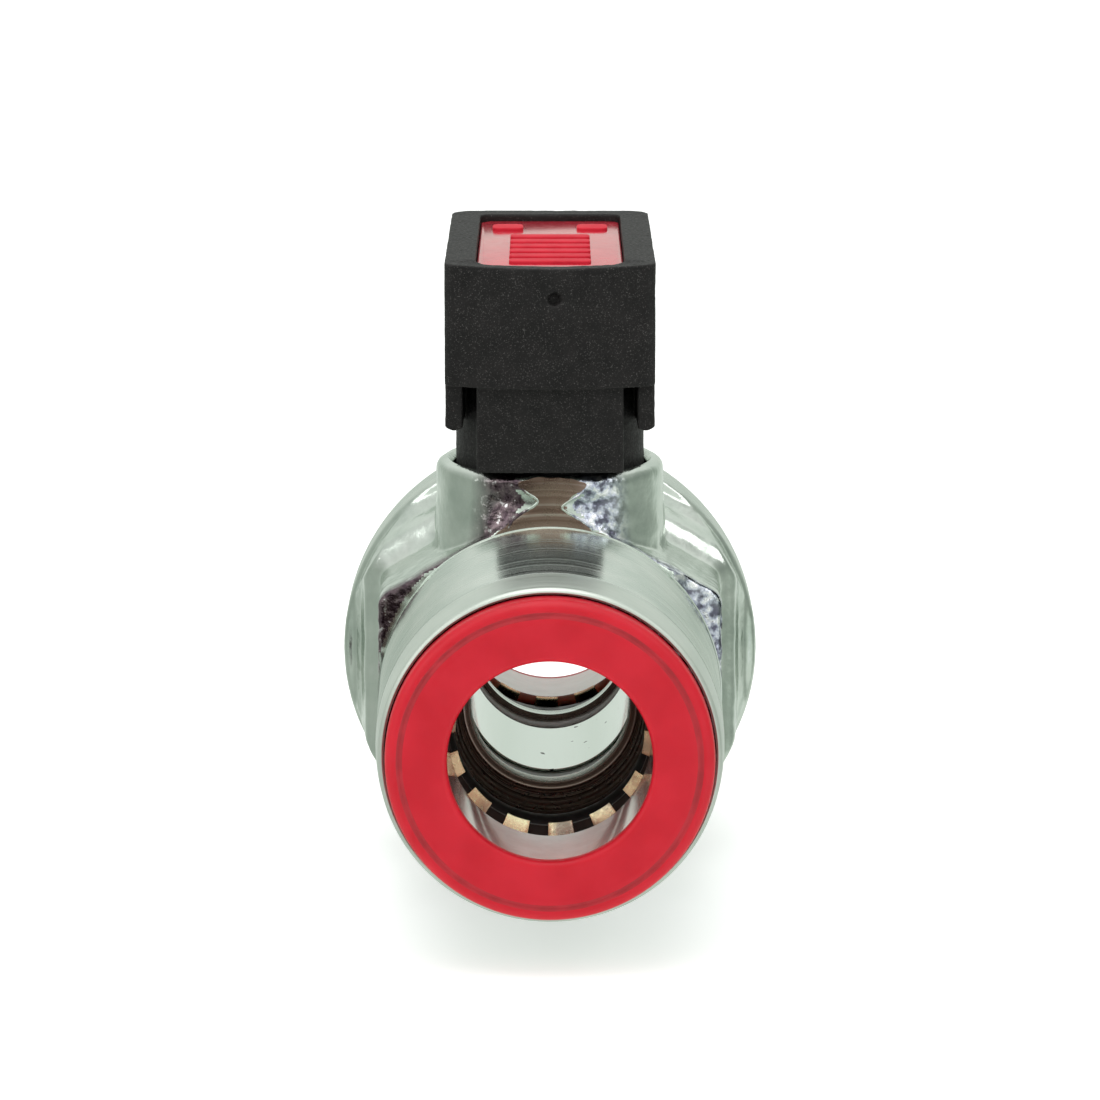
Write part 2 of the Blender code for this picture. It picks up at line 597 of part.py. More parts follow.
# ---------------------------------------------------------------- assembly
def main():
    clear_scene()
    valve = bpy.data.collections.new("push_in_ball_valve")
    bpy.context.scene.collection.children.link(valve)

    finish(make_valve_body(), valve, "plated_brass")
    finish(make_rear_connector(), valve, "plated_brass")
    finish(oring("connector_seal", 9.25, 0.6, 9.42, axis="Y"), valve, "black_nitrile")
    finish(make_ball(), valve, "plated_brass")
    finish(make_seat("seat_front", -1), valve, "filled_ptfe")
    finish(make_seat("seat_rear", 1), valve, "filled_ptfe")
    finish(make_stem(), valve, "turned_brass")
    finish(make_stem_washer(), valve, "white_ptfe")
    for level, height in ORING_HEIGHTS.items():
        finish(oring(f"stem_oring_{level}", 2.46, 0.44, height), valve, "black_nitrile")

    finish(make_lever(), valve, "black_nylon")
    finish(make_lever_screw(), valve, "zinc_steel")
    finish(make_lever_washer(), valve, "zinc_steel")
    finish(make_badge(), valve, "red_acetal")

    for end, side in (("front", -1), ("rear", 1)):
        finish(make_collet(f"{end}_collet", side), valve, "red_acetal")
        finish(make_retaining_sleeve(f"{end}_retaining_sleeve", side), valve, "turned_brass")
        finish(make_claw_ring(f"{end}_claw_ring", side), valve, "spring_steel")
        finish(make_support_ring(f"{end}_support_ring", side), valve, "amber_polymer")
        finish(make_tube_seal(f"{end}_tube_seal", side), valve, "black_nitrile")


main()
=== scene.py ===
"""Looks of the push-in ball valve: plated forging, red release collets, black moulded lever.

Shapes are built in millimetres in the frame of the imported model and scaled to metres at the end.
The flow runs along Y, the stem along Z, and the origin is the centre of the ball.
"""
import math

import bmesh
import bpy
import numpy as np
from mathutils import Matrix, Vector, noise


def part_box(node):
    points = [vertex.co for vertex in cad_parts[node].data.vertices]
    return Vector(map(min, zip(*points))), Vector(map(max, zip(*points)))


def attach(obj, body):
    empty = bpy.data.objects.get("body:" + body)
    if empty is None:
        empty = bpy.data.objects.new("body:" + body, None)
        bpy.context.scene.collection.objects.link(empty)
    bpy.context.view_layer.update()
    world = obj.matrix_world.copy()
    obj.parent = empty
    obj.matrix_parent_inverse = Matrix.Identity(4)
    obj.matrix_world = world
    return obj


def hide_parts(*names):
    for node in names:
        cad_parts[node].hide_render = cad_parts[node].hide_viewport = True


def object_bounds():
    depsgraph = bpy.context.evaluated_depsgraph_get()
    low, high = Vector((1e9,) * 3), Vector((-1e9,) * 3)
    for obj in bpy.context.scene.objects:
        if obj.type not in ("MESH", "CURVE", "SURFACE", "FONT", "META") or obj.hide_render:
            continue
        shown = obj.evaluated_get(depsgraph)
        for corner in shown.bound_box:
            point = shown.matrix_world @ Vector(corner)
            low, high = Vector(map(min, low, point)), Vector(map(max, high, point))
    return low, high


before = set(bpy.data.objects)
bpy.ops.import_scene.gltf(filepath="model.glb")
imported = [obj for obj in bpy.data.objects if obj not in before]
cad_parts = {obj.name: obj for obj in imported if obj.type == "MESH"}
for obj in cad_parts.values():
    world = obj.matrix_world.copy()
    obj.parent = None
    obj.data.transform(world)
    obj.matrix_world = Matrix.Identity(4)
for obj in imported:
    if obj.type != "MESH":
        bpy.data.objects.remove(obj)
cad_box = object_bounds()

MM = 0.001
ROUND = 192

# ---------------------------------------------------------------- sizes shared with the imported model
# In millimetres. A depth runs inwards from the face of the release collet.
END_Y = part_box("rear_collet")[1].y / MM
HOUSING_FACE = END_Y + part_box("valve_body")[0].y / MM
HOUSING_R, RIM_DEPTH = 10.5, 4.8
MOUTH_R, MOUTH_DEPTH = 9.88, 2.95
GRIP_R, GRIP_DEPTH = 9.1, 6.5
SEAL_R, SEAL_DEPTH = 8.4, 11.4
GUIDE_R = 6.15
STOP_R, STOP_DEPTH = 5.5, 14.4
LIP_R = 4.95
COLLET_R, COLLET_BORE_R = 9.8, 6.1
TEETH = 14
SHOULDER_Y = -6.8
HEX_INRADIUS = 10.75
COLLAR_R, COLLAR_FRONT_Y, COLLAR_REAR_Y = 13.5, 5.7, 10.0
CHAMBER_R, SEAT_FACE_Y, SEAT_BACK_Y = 7.95, 4.8, 8.0
THREAD_R, THREAD_START_Y, THREAD_END_Y = 9.0, 5.0, 8.75
CONNECTOR_SEAL_R = 9.95
CONNECTOR_INRADIUS, CONNECTOR_HEX_END_Y = 11.0, 14.6
BALL_R, CHANNEL_R = 7.8, 5.2
SLOT_HALF, SLOT_FLOOR_Z = 1.47, 5.85
TOWER_R, TOWER_TOP_Z = 7.2, 14.0
CUP_R, CUP_FLOOR_Z = 6.1, 12.0
STEM_R, STEM_SEAL_R, STEM_SEAL_TOP_Z = 2.85, 3.85, 9.65
LEVER_HALF, LEVER_FRONT_Y, LEVER_TIP_Y = 6.5, -7.6, 17.0
LEVER_BOTTOM_Z, LEVER_TOP_Z = 19.8, 27.4
HUB_R, HUB_BOTTOM_Z = 5.95, 12.2
BADGE_BOTTOM_Z, BADGE_TOP_Z, BADGE_RELIEF = 26.25, 26.95, 0.2


# ---------------------------------------------------------------- mesh helpers
def make_object(name, verts, faces):
    mesh = bpy.data.meshes.new(name)
    mesh.from_pydata([tuple(v) for v in verts], [], [tuple(f) for f in faces])
    obj = bpy.data.objects.new(name, mesh)
    bpy.context.scene.collection.objects.link(obj)
    return obj


def tidy(obj, merge=1e-4):
    """Weld coincident points and turn every face outwards."""
    shape = bmesh.new()
    shape.from_mesh(obj.data)
    bmesh.ops.remove_doubles(shape, verts=shape.verts, dist=merge)
    bmesh.ops.recalc_face_normals(shape, faces=shape.faces)
    shape.to_mesh(obj.data)
    shape.free()
    return obj


def lathe(name, section, axis="Y", segments=ROUND, start=0.0, sweep=math.tau):
    """Turn a closed section of (radius, height) points about an axis; a part sweep is capped."""
    count = len(section)
    whole = sweep > math.tau - 1e-6
    columns = segments if whole else segments + 1
    angles = start + sweep * np.arange(columns) / segments
    r = np.array([p[0] for p in section])
    h = np.array([p[1] for p in section])
    first = np.outer(np.cos(angles), r)
    second = np.outer(np.sin(angles), r)
    height = np.broadcast_to(h, first.shape)
    order = (first, height, second) if axis == "Y" else (first, second, height)
    verts = np.stack(order, axis=-1).reshape(-1, 3)
    faces = []
    for i in range(segments):
        near, far = i * count, ((i + 1) % columns) * count
        for j in range(count):
            k = (j + 1) % count
            faces.append((near + j, near + k, far + k, far + j))
    if not whole:
        faces.append(tuple(range(count)))
        faces.append(tuple(segments * count + j for j in range(count)))
    return tidy(make_object(name, verts.tolist(), faces))


def loft(name, rings):
    """Skin a stack of rings with the same number of points, and cap both ends."""
    count = len(rings[0])
    verts = [p for ring in rings for p in ring]
    faces = [tuple(range(count)), tuple(len(verts) - count + j for j in range(count))]
    for i in range(len(rings) - 1):
        for j in range(count):
            k = (j + 1) % count
            faces.append((i * count + j, i * count + k, (i + 1) * count + k, (i + 1) * count + j))
    return tidy(make_object(name, verts, faces))


def prism(name, outline, low, high):
    """Extrude an outline in XY between two heights."""
    return loft(name, [[(x, y, z) for x, y in outline] for z in (low, high)])


def arc(centre, radius, start_deg, end_deg, count):
    angles = [math.radians(start_deg + (end_deg - start_deg) * i / count) for i in range(count + 1)]
    return [(centre[0] + radius * math.cos(a), centre[1] + radius * math.sin(a)) for a in angles]


def rounded_rect(x0, x1, y0, y1, front_r, rear_r, count=10):
    """Outline of a rectangle whose front (low y) and rear corners have their own radii."""
    return (arc((x0 + front_r, y0 + front_r), front_r, 180, 270, count)
            + arc((x1 - front_r, y0 + front_r), front_r, 270, 360, count)
            + arc((x1 - rear_r, y1 - rear_r), rear_r, 0, 90, count)
            + arc((x0 + rear_r, y1 - rear_r), rear_r, 90, 180, count))


def box(name, low, high):
    outline = [(low[0], low[1]), (high[0], low[1]), (high[0], high[1]), (low[0], high[1])]
    return prism(name, outline, low[2], high[2])


def bake(obj):
    evaluated = obj.evaluated_get(bpy.context.evaluated_depsgraph_get())
    mesh = bpy.data.meshes.new_from_object(evaluated)
    obj.modifiers.clear()
    obj.data = mesh
    return obj


def combine(target, tool, operation, solver="MANIFOLD"):
    """Boolean the tool into the target and throw the tool away."""
    cut = target.modifiers.new("cut", "BOOLEAN")
    cut.operation = operation
    cut.solver = solver
    cut.object = tool
    bake(target)
    bpy.data.objects.remove(tool, do_unlink=True)
    return target


def join(target, *others):
    """Add the meshes of other objects to the target and throw those objects away."""
    shape = bmesh.new()
    shape.from_mesh(target.data)
    for other in others:
        shape.from_mesh(other.data)
        bpy.data.objects.remove(other, do_unlink=True)
    shape.to_mesh(target.data)
    shape.free()
    return target


def remesh(obj, voxel, smooth):
    """One closed skin round everything in the mesh, with its edges softened."""
    skin = obj.modifiers.new("skin", "REMESH")
    skin.mode = "VOXEL"
    skin.voxel_size = voxel
    relax = obj.modifiers.new("relax", "SMOOTH")
    relax.iterations = smooth
    relax.factor = 0.5
    return bake(obj)


def soften(obj, width, angle=40.0):
    """Round every edge that turns by more than the angle, in degrees."""
    bevel = obj.modifiers.new("bevel", "BEVEL")
    bevel.width = width
    bevel.segments = 3
    bevel.limit_method = "ANGLE"
    bevel.angle_limit = math.radians(angle)
    return bake(obj)


def points_of(obj):
    co = np.empty(len(obj.data.vertices) * 3)
    obj.data.vertices.foreach_get("co", co)
    return co.reshape(-1, 3)


def set_points(obj, co):
    obj.data.vertices.foreach_set("co", np.asarray(co, dtype=np.float32).ravel())
    obj.data.update()


def normals_of(obj):
    normals = np.empty(len(obj.data.vertices) * 3)
    obj.data.vertices.foreach_get("normal", normals)
    return normals.reshape(-1, 3)


def smoothstep(low, high, value):
    t = np.clip((value - low) / (high - low), 0.0, 1.0)
    return t * t * (3.0 - 2.0 * t)


def roughen(obj, height, grain, seed, weight=1.0):
    """Push points along their normals by a smooth random height; weight says how far each may go."""
    co, normals = points_of(obj), normals_of(obj)
    shift = Vector((seed * 17.3, seed * 5.1, seed * 9.7))
    bumps = np.array([noise.noise(Vector(p) / grain + shift) for p in co]) * weight
    set_points(obj, co + normals * (bumps * height)[:, None])


def face_data(obj):
    count = len(obj.data.polygons)
    centres, normals = np.empty(count * 3), np.empty(count * 3)
    obj.data.polygons.foreach_get("center", centres)
    obj.data.polygons.foreach_get("normal", normals)
    return centres.reshape(-1, 3), normals.reshape(-1, 3)


def set_materials(obj, names, index=None):
    obj.data.materials.clear()
    for name in names:
        obj.data.materials.append(bpy.data.materials[name])
    if index is None:
        index = np.zeros(len(obj.data.polygons), dtype=np.int32)
    obj.data.polygons.foreach_set("material_index", np.asarray(index, dtype=np.int32))


def place(obj, body, replaced, sharp=32.0):
    """Scale the finished piece to metres, shade it and let it ride on its body."""
    obj.data.transform(Matrix.Scale(MM, 4))
    obj.data.shade_smooth()
    obj.data.set_sharp_from_angle(angle=math.radians(sharp))
    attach(obj, body)
    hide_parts(*replaced)
    return obj


# ---------------------------------------------------------------- materials
class Graph:
    """A small helper round one node tree. Its sources are the output sockets of nodes."""

    def __init__(self, tree):
        self.tree = tree

    def add(self, kind, **settings):
        node = self.tree.nodes.new(kind)
        for key, value in settings.items():
            setattr(node, key, value)
        return node

    def link(self, source, target):
        self.tree.links.new(source, target)

    def ramp(self, source, *stops):
        """Colour a 0..1 value by (position, colour) stops."""
        made = self.add("ShaderNodeValToRGB")
        elements = made.color_ramp.elements
        while len(elements) < len(stops):
            elements.new(0.5)
        for element, (position, colour) in zip(elements, stops):
            element.position = position
            element.color = (*colour, 1.0)
        self.link(source, made.inputs["Fac"])
        return made.outputs["Color"]

    def remap(self, source, low, high, start=0.3, end=0.7, **settings):
        """Map the values from start to end onto the numbers from low to high."""
        made = self.add("ShaderNodeMapRange", **settings)
        made.inputs["From Min"].default_value = start
        made.inputs["From Max"].default_value = end
        made.inputs["To Min"].default_value = low
        made.inputs["To Max"].default_value = high
        self.link(source, made.inputs["Value"])
        return made.outputs["Result"]

    def times(self, first, second):
        made = self.add("ShaderNodeMath", operation="MULTIPLY")
        self.link(first, made.inputs[0])
        self.link(second, made.inputs[1])
        return made.outputs["Value"]

    def blend(self, factor, low, high):
        """Mix two colours, each of them a source or plain numbers."""
        mix = self.add("ShaderNodeMix", data_type="RGBA")
        self.link(factor, mix.inputs["Factor"])
        for name, colour in (("A", low), ("B", high)):
            if isinstance(colour, tuple):
                mix.inputs[name].default_value = (*colour, 1.0)
            else:
                self.link(colour, mix.inputs[name])
        return mix.outputs["Result"]


class Shader(Graph):
    """The node tree of one material. Texture space is the object's own, in metres.

    The plain colour and roughness are what a viewer without nodes falls back on.
    """

    def __init__(self, name, colour, metallic, roughness):
        self.material = bpy.data.materials.new(name)
        self.material.use_nodes = True
        super().__init__(self.material.node_tree)
        self.bsdf = self.tree.nodes["Principled BSDF"]
        self.set(Base_Color=(*colour, 1.0), Metallic=metallic, Roughness=roughness)
        self.position = self.add("ShaderNodeTexCoord").outputs["Object"]
        self.height = None

    def set(self, **values):
        for key, value in values.items():
            self.bsdf.inputs[key.replace("_", " ")].default_value = value

    def tint(self, source, *stops):
        """Vary the colour of the surface with a source."""
        self.link(self.ramp(source, *stops), self.bsdf.inputs["Base Color"])

    def gloss(self, source, low, high):
        """Vary the roughness of the surface with a source."""
        self.link(self.remap(source, low, high), self.bsdf.inputs["Roughness"])

    def noise(self, grain_mm, detail=3.0, stretch=None):
        """Noise whose features are about grain_mm wide, from 0 to 1."""
        source = self.position
        if stretch:
            scaled = self.add("ShaderNodeVectorMath", operation="MULTIPLY")
            scaled.inputs[1].default_value = stretch
            self.link(source, scaled.inputs[0])
            source = scaled.outputs["Vector"]
        made = self.add("ShaderNodeTexNoise")
        made.inputs["Scale"].default_value = 1.0 / (grain_mm * MM)
        made.inputs["Detail"].default_value = detail
        self.link(source, made.inputs["Vector"])
        return made.outputs["Fac"]

    def turning_lines(self, grain_mm):
        """Noise that only varies along Y and with the radius about Y, as a lathe tool leaves it."""
        parts = self.add("ShaderNodeSeparateXYZ")
        self.link(self.position, parts.inputs[0])
        flat = self.add("ShaderNodeCombineXYZ")
        self.link(parts.outputs["X"], flat.inputs["X"])
        self.link(parts.outputs["Z"], flat.inputs["Z"])
        radius = self.add("ShaderNodeVectorMath", operation="LENGTH")
        self.link(flat.outputs["Vector"], radius.inputs[0])
        total = self.add("ShaderNodeMath", operation="ADD")
        self.link(radius.outputs["Value"], total.inputs[0])
        self.link(parts.outputs["Y"], total.inputs[1])
        made = self.add("ShaderNodeTexNoise", noise_dimensions="1D")
        made.inputs["Scale"].default_value = 1.0 / (grain_mm * MM)
        made.inputs["Detail"].default_value = 4.0
        self.link(total.outputs["Value"], made.inputs["W"])
        return made.outputs["Fac"]

    def bump(self, source, depth_mm):
        """Add a height of about depth_mm to the surface, on top of any bump added before."""
        made = self.add("ShaderNodeBump")
        made.inputs["Distance"].default_value = depth_mm * MM
        made.inputs["Strength"].default_value = 1.0
        self.link(source, made.inputs["Height"])
        if self.height is not None:
            self.link(self.height, made.inputs["Normal"])
        self.height = made.outputs["Normal"]
        self.link(self.height, self.bsdf.inputs["Normal"])

    def painted_edge_highlight(self, base, highlight_colour, amount, radius_mm):
        """Blend towards a paler colour on outer edges, where a bevelled normal leaves the true one: a
        painted edge highlight.
        """
        bevel = self.add("ShaderNodeBevel", samples=4)
        bevel.inputs["Radius"].default_value = radius_mm * MM
        geometry = self.add("ShaderNodeNewGeometry")
        dot = self.add("ShaderNodeVectorMath", operation="DOT_PRODUCT")
        self.link(bevel.outputs["Normal"], dot.inputs[0])
        self.link(geometry.outputs["Normal"], dot.inputs[1])
        factor = self.remap(dot.outputs["Value"], amount, 0.0, 0.80, 0.99)
        self.link(self.blend(factor, base, highlight_colour), self.bsdf.inputs["Base Color"])


def make_materials():
    # Bright plating on the forged skin: uneven, slightly milky, orange-peel surface
    forged = Shader("forged_plating", (0.62, 0.68, 0.62), 1.0, 0.16)
    milky = forged.ramp(forged.noise(2.6, 4.0), (0.3, (0.56, 0.63, 0.57)), (0.55, (0.68, 0.74, 0.68)),
                        (0.75, (0.74, 0.78, 0.73)))
    forged.gloss(forged.noise(0.9, 4.0), 0.10, 0.26)
    forged.bump(forged.noise(1.1, 2.0), 0.03)
    forged.bump(forged.noise(0.33, 3.0), 0.014)
    parts = forged.add("ShaderNodeSeparateXYZ")
    forged.link(forged.position, parts.inputs[0])
    fore = forged.remap(parts.outputs["Y"], 1.0, 0.0, -6.2 * MM, -5.2 * MM)
    forged.bump(forged.times(forged.noise(0.42, 5.0), fore), 0.10)
    # Painted reflection on the front: dark purple with painted highlight flecks on one side of the parting
    # line, pale with painted white glints on the other, standing in for the studio mirrored in the rough
    # plating
    painted_dark_reflection = forged.ramp(forged.noise(0.5, 5.0), (0.40, (0.10, 0.07, 0.085)), (0.60, (0.20, 0.155, 0.165)),
                        (0.70, (0.85, 0.82, 0.84)))
    painted_bright_reflection = forged.ramp(forged.noise(0.6, 5.0), (0.40, (0.14, 0.14, 0.19)), (0.51, (0.58, 0.61, 0.72)),
                        (0.62, (0.98, 0.98, 1.0)))
    # The painted reflection is dark on the -X side and bright on the +X side
    across = forged.remap(parts.outputs["X"], 0.0, 1.0, -0.3 * MM, 0.3 * MM)
    painted_reflection_halves = forged.blend(across, painted_dark_reflection, painted_bright_reflection)
    forged.link(forged.blend(fore, milky, painted_reflection_halves), forged.bsdf.inputs["Base Color"])

    # Plating over turned surfaces: fine tool lines that smear reflections along the axis
    turned = Shader("turned_plating", (0.66, 0.72, 0.66), 1.0, 0.14)
    turned.tint(turned.noise(3.5, 3.0), (0.35, (0.60, 0.67, 0.61)), (0.7, (0.72, 0.77, 0.71)))
    turned.gloss(turned.turning_lines(0.5), 0.16, 0.30)
    turned.bump(turned.turning_lines(0.10), 0.0035)
    around_axis = turned.add("ShaderNodeTangent", direction_type="RADIAL", axis="Y")
    turned.link(around_axis.outputs["Tangent"], turned.bsdf.inputs["Tangent"])
    turned.set(Anisotropic=0.8, Anisotropic_Rotation=0.25)
    turned.bump(turned.noise(1.6, 2.0), 0.006)

    # The nose of each housing is satin, so it only shows soft reflections
    satin = Shader("satin_plating", (0.60, 0.66, 0.60), 0.7, 0.42)
    satin.tint(satin.noise(3.0, 3.0), (0.3, (0.55, 0.61, 0.55)), (0.7, (0.64, 0.69, 0.63)))
    satin.gloss(satin.turning_lines(0.6), 0.36, 0.48)
    satin.bump(satin.turning_lines(0.15), 0.003)

    # Faced and bored surfaces: coarser lines, thin warm plating
    faced = Shader("faced_plating", (0.50, 0.42, 0.37), 1.0, 0.26)
    faced.tint(faced.turning_lines(0.35), (0.3, (0.25, 0.165, 0.13)), (0.6, (0.36, 0.255, 0.21)),
               (0.8, (0.58, 0.49, 0.43)))
    faced.gloss(faced.noise(0.8, 4.0), 0.20, 0.36)
    faced.bump(faced.turning_lines(0.14), 0.012)
    faced.bump(faced.noise(0.25, 3.0), 0.006)

    # Bores are barely plated: dark brown, with bright hairlines where the tool chattered
    bored = Shader("bored_plating", (0.13, 0.09, 0.075), 1.0, 0.3)
    bored.tint(bored.turning_lines(0.13), (0.30, (0.10, 0.066, 0.054)), (0.56, (0.20, 0.14, 0.115)),
               (0.62, (0.60, 0.52, 0.47)), (0.67, (0.17, 0.12, 0.10)))
    bored.gloss(bored.noise(0.6, 4.0), 0.24, 0.38)
    bored.bump(bored.turning_lines(0.10), 0.010)

    # Mirror-plated ball with a few pits and hairline scratches
    mirror = Shader("ball_plating", (0.80, 0.86, 0.81), 1.0, 0.06)
    mirror.tint(mirror.noise(0.7, 1.0), (0.235, (0.03, 0.03, 0.03)), (0.25, (0.80, 0.86, 0.81)))
    mirror.gloss(mirror.noise(0.25, 5.0, stretch=(1.0, 0.05, 1.0)), 0.04, 0.14)
    mirror.bump(mirror.noise(0.5, 2.0, stretch=(1.0, 0.04, 1.0)), 0.0015)

    # Red acetal of the collets, satin and faintly translucent
    red = Shader("red_acetal_satin", (0.54, 0.008, 0.022), 0.0, 0.38)
    red.tint(red.noise(3.0, 3.0), (0.35, (0.51, 0.006, 0.018)), (0.65, (0.57, 0.010, 0.025)))
    red.gloss(red.noise(0.5, 4.0), 0.34, 0.46)
    red.set(Subsurface_Weight=0.25, Subsurface_Radius=(1.0, 0.12, 0.10), Subsurface_Scale=1.2 * MM,
            Specular_IOR_Level=0.3)
    red.bump(red.turning_lines(0.25), 0.004)
    red.bump(red.noise(0.14, 3.0), 0.003)

    # Painted shade: the moulded groove is given a darker red
    groove = Shader("red_acetal_groove", (0.40, 0.004, 0.014), 0.0, 0.5)
    groove.tint(groove.noise(1.4, 3.0), (0.35, (0.34, 0.003, 0.011)), (0.65, (0.45, 0.005, 0.017)))
    groove.bump(groove.noise(0.14, 3.0), 0.003)

    # The bore of the collet is polished by tubes and glossy; its paler pinkish colour is painted glow,
    # standing in for light shining through the red
    bore = Shader("red_acetal_polished", (0.62, 0.35, 0.33), 0.0, 0.12)
    bore.tint(bore.noise(1.6, 3.0), (0.3, (0.57, 0.30, 0.28)), (0.7, (0.67, 0.40, 0.38)))
    bore.set(Subsurface_Weight=0.5, Subsurface_Radius=(1.0, 0.5, 0.45), Subsurface_Scale=2.0 * MM,
             Specular_IOR_Level=0.8, Coat_Weight=1.0, Coat_Roughness=0.07, Coat_IOR=1.9)
    bore.bump(bore.turning_lines(0.4), 0.003)

    # Glass-filled nylon of the lever: near black, matte, with pale fibre flecks
    nylon = Shader("glass_filled_nylon", (0.010, 0.009, 0.009), 0.0, 0.60)
    flecks = nylon.ramp(nylon.noise(0.07, 2.0), (0.60, (0.0, 0.0, 0.0)), (0.76, (1.0, 1.0, 1.0)))
    mottled = nylon.ramp(nylon.noise(1.2, 4.0), (0.3, (0.006, 0.0055, 0.0055)),
                         (0.7, (0.012, 0.0105, 0.0105)))
    flecked = nylon.blend(flecks, mottled, (0.09, 0.086, 0.083))
    nylon.set(Specular_IOR_Level=0.28)
    # Painted highlight: the outer edges of the lever are lightened
    nylon.painted_edge_highlight(flecked, (0.065, 0.06, 0.058), amount=0.65, radius_mm=0.15)
    nylon.gloss(nylon.noise(0.2, 3.0), 0.50, 0.72)
    nylon.bump(nylon.noise(0.16, 4.0), 0.022)
    nylon.bump(nylon.noise(0.9, 2.0), 0.02)

    # Glossy red inlay
    inlay = Shader("red_inlay_gloss", (0.60, 0.02, 0.045), 0.0, 0.24)
    inlay.tint(inlay.noise(2.5, 3.0), (0.35, (0.55, 0.016, 0.04)), (0.65, (0.66, 0.026, 0.052)))
    inlay.gloss(inlay.noise(0.4, 4.0), 0.14, 0.26)
    inlay.set(IOR=1.6, Coat_Weight=0.6, Coat_Roughness=0.12)
    inlay.bump(inlay.noise(0.2, 3.0), 0.003)

    # The raised bars of the inlay stay matt and deep red
    matt = Shader("red_inlay_matt", (0.62, 0.018, 0.04), 0.0, 0.6)
    matt.tint(matt.noise(1.2, 3.0), (0.35, (0.58, 0.014, 0.034)), (0.65, (0.66, 0.022, 0.045)))
    matt.set(Specular_IOR_Level=0.2)
    matt.bump(matt.noise(0.15, 3.0), 0.008)

    rubber = Shader("black_nitrile_seal", (0.012, 0.012, 0.012), 0.0, 0.42)
    rubber.tint(rubber.noise(0.7, 3.0), (0.3, (0.009, 0.009, 0.009)), (0.7, (0.018, 0.017, 0.017)))
    rubber.gloss(rubber.noise(0.5, 3.0), 0.34, 0.55)
    rubber.bump(rubber.noise(0.12, 3.0), 0.006)

    claw = Shader("claw_steel", (0.95, 0.80, 0.50), 1.0, 0.20)
    claw.tint(claw.noise(2.9, 1.0), (0.40, (0.36, 0.32, 0.25)), (0.50, (0.74, 0.66, 0.42)),
              (0.58, (1.0, 0.95, 0.60)))
    claw.gloss(claw.noise(0.2, 3.0, stretch=(1.0, 0.2, 1.0)), 0.14, 0.30)
    claw.bump(claw.noise(0.15, 3.0, stretch=(1.0, 0.2, 1.0)), 0.004)

    spacer = Shader("dark_polymer", (0.03, 0.02, 0.016), 0.0, 0.4)
    spacer.tint(spacer.noise(0.8, 3.0), (0.3, (0.016, 0.011, 0.009)), (0.7, (0.035, 0.022, 0.017)))
    spacer.bump(spacer.turning_lines(0.2), 0.004)

    seat = Shader("filled_ptfe_seat", (0.78, 0.76, 0.74), 0.0, 0.34)
    seat.tint(seat.noise(0.4, 4.0), (0.3, (0.72, 0.70, 0.68)), (0.7, (0.82, 0.80, 0.78)))
    seat.bump(seat.turning_lines(0.2), 0.005)

    white = Shader("white_ptfe_washer", (0.80, 0.80, 0.77), 0.0, 0.4)
    white.tint(white.noise(0.6, 3.0), (0.3, (0.72, 0.72, 0.69)), (0.7, (0.84, 0.84, 0.81)))
    white.bump(white.turning_lines(0.2), 0.004)

    brass = Shader("turned_brass_bare", (0.72, 0.54, 0.27), 1.0, 0.26)
    brass.tint(brass.turning_lines(0.4), (0.3, (0.62, 0.44, 0.20)), (0.7, (0.80, 0.62, 0.34)))
    brass.gloss(brass.noise(0.5, 4.0), 0.20, 0.36)
    brass.bump(brass.turning_lines(0.12), 0.005)

    zinc = Shader("zinc_plated_steel", (0.60, 0.61, 0.63), 1.0, 0.3)
    zinc.tint(zinc.noise(0.6, 4.0), (0.3, (0.50, 0.51, 0.53)), (0.7, (0.68, 0.69, 0.71)))
    zinc.gloss(zinc.noise(0.3, 4.0), 0.24, 0.42)
    zinc.bump(zinc.noise(0.2, 3.0), 0.006)


# ---------------------------------------------------------------- shared sections
def at_end(side, points):
    """Place (radius, depth behind the collet face) points at one end."""
    return [(r, side * (END_Y - depth)) for r, depth in points]


def along(side, points):
    """The same, but always running towards +Y."""
    placed = at_end(side, points)
    return placed if side < 0 else list(reversed(placed))


def nose(side):
    """Outside of a socket housing: rounded lip, slightly barrelled nose, tiny step behind it."""
    face = HOUSING_FACE
    lip = arc((HOUSING_R - 0.62, face + 0.4), 0.4, -90.0, -12.0, 8)
    nose_r, length = HOUSING_R - 0.03, RIM_DEPTH - face - 0.55
    barrel = [(nose_r - 0.2 * (1.0 - t) ** 2, face + 0.45 + t * length) for t in np.linspace(0, 1, 12)]
    step = [(nose_r, RIM_DEPTH - 0.05), (nose_r - 0.01, RIM_DEPTH), (HOUSING_R, RIM_DEPTH + 0.10)]
    return along(side, [(MOUTH_R + 0.02, face + 0.12), (MOUTH_R + 0.08, face), *lip, *barrel, *step])


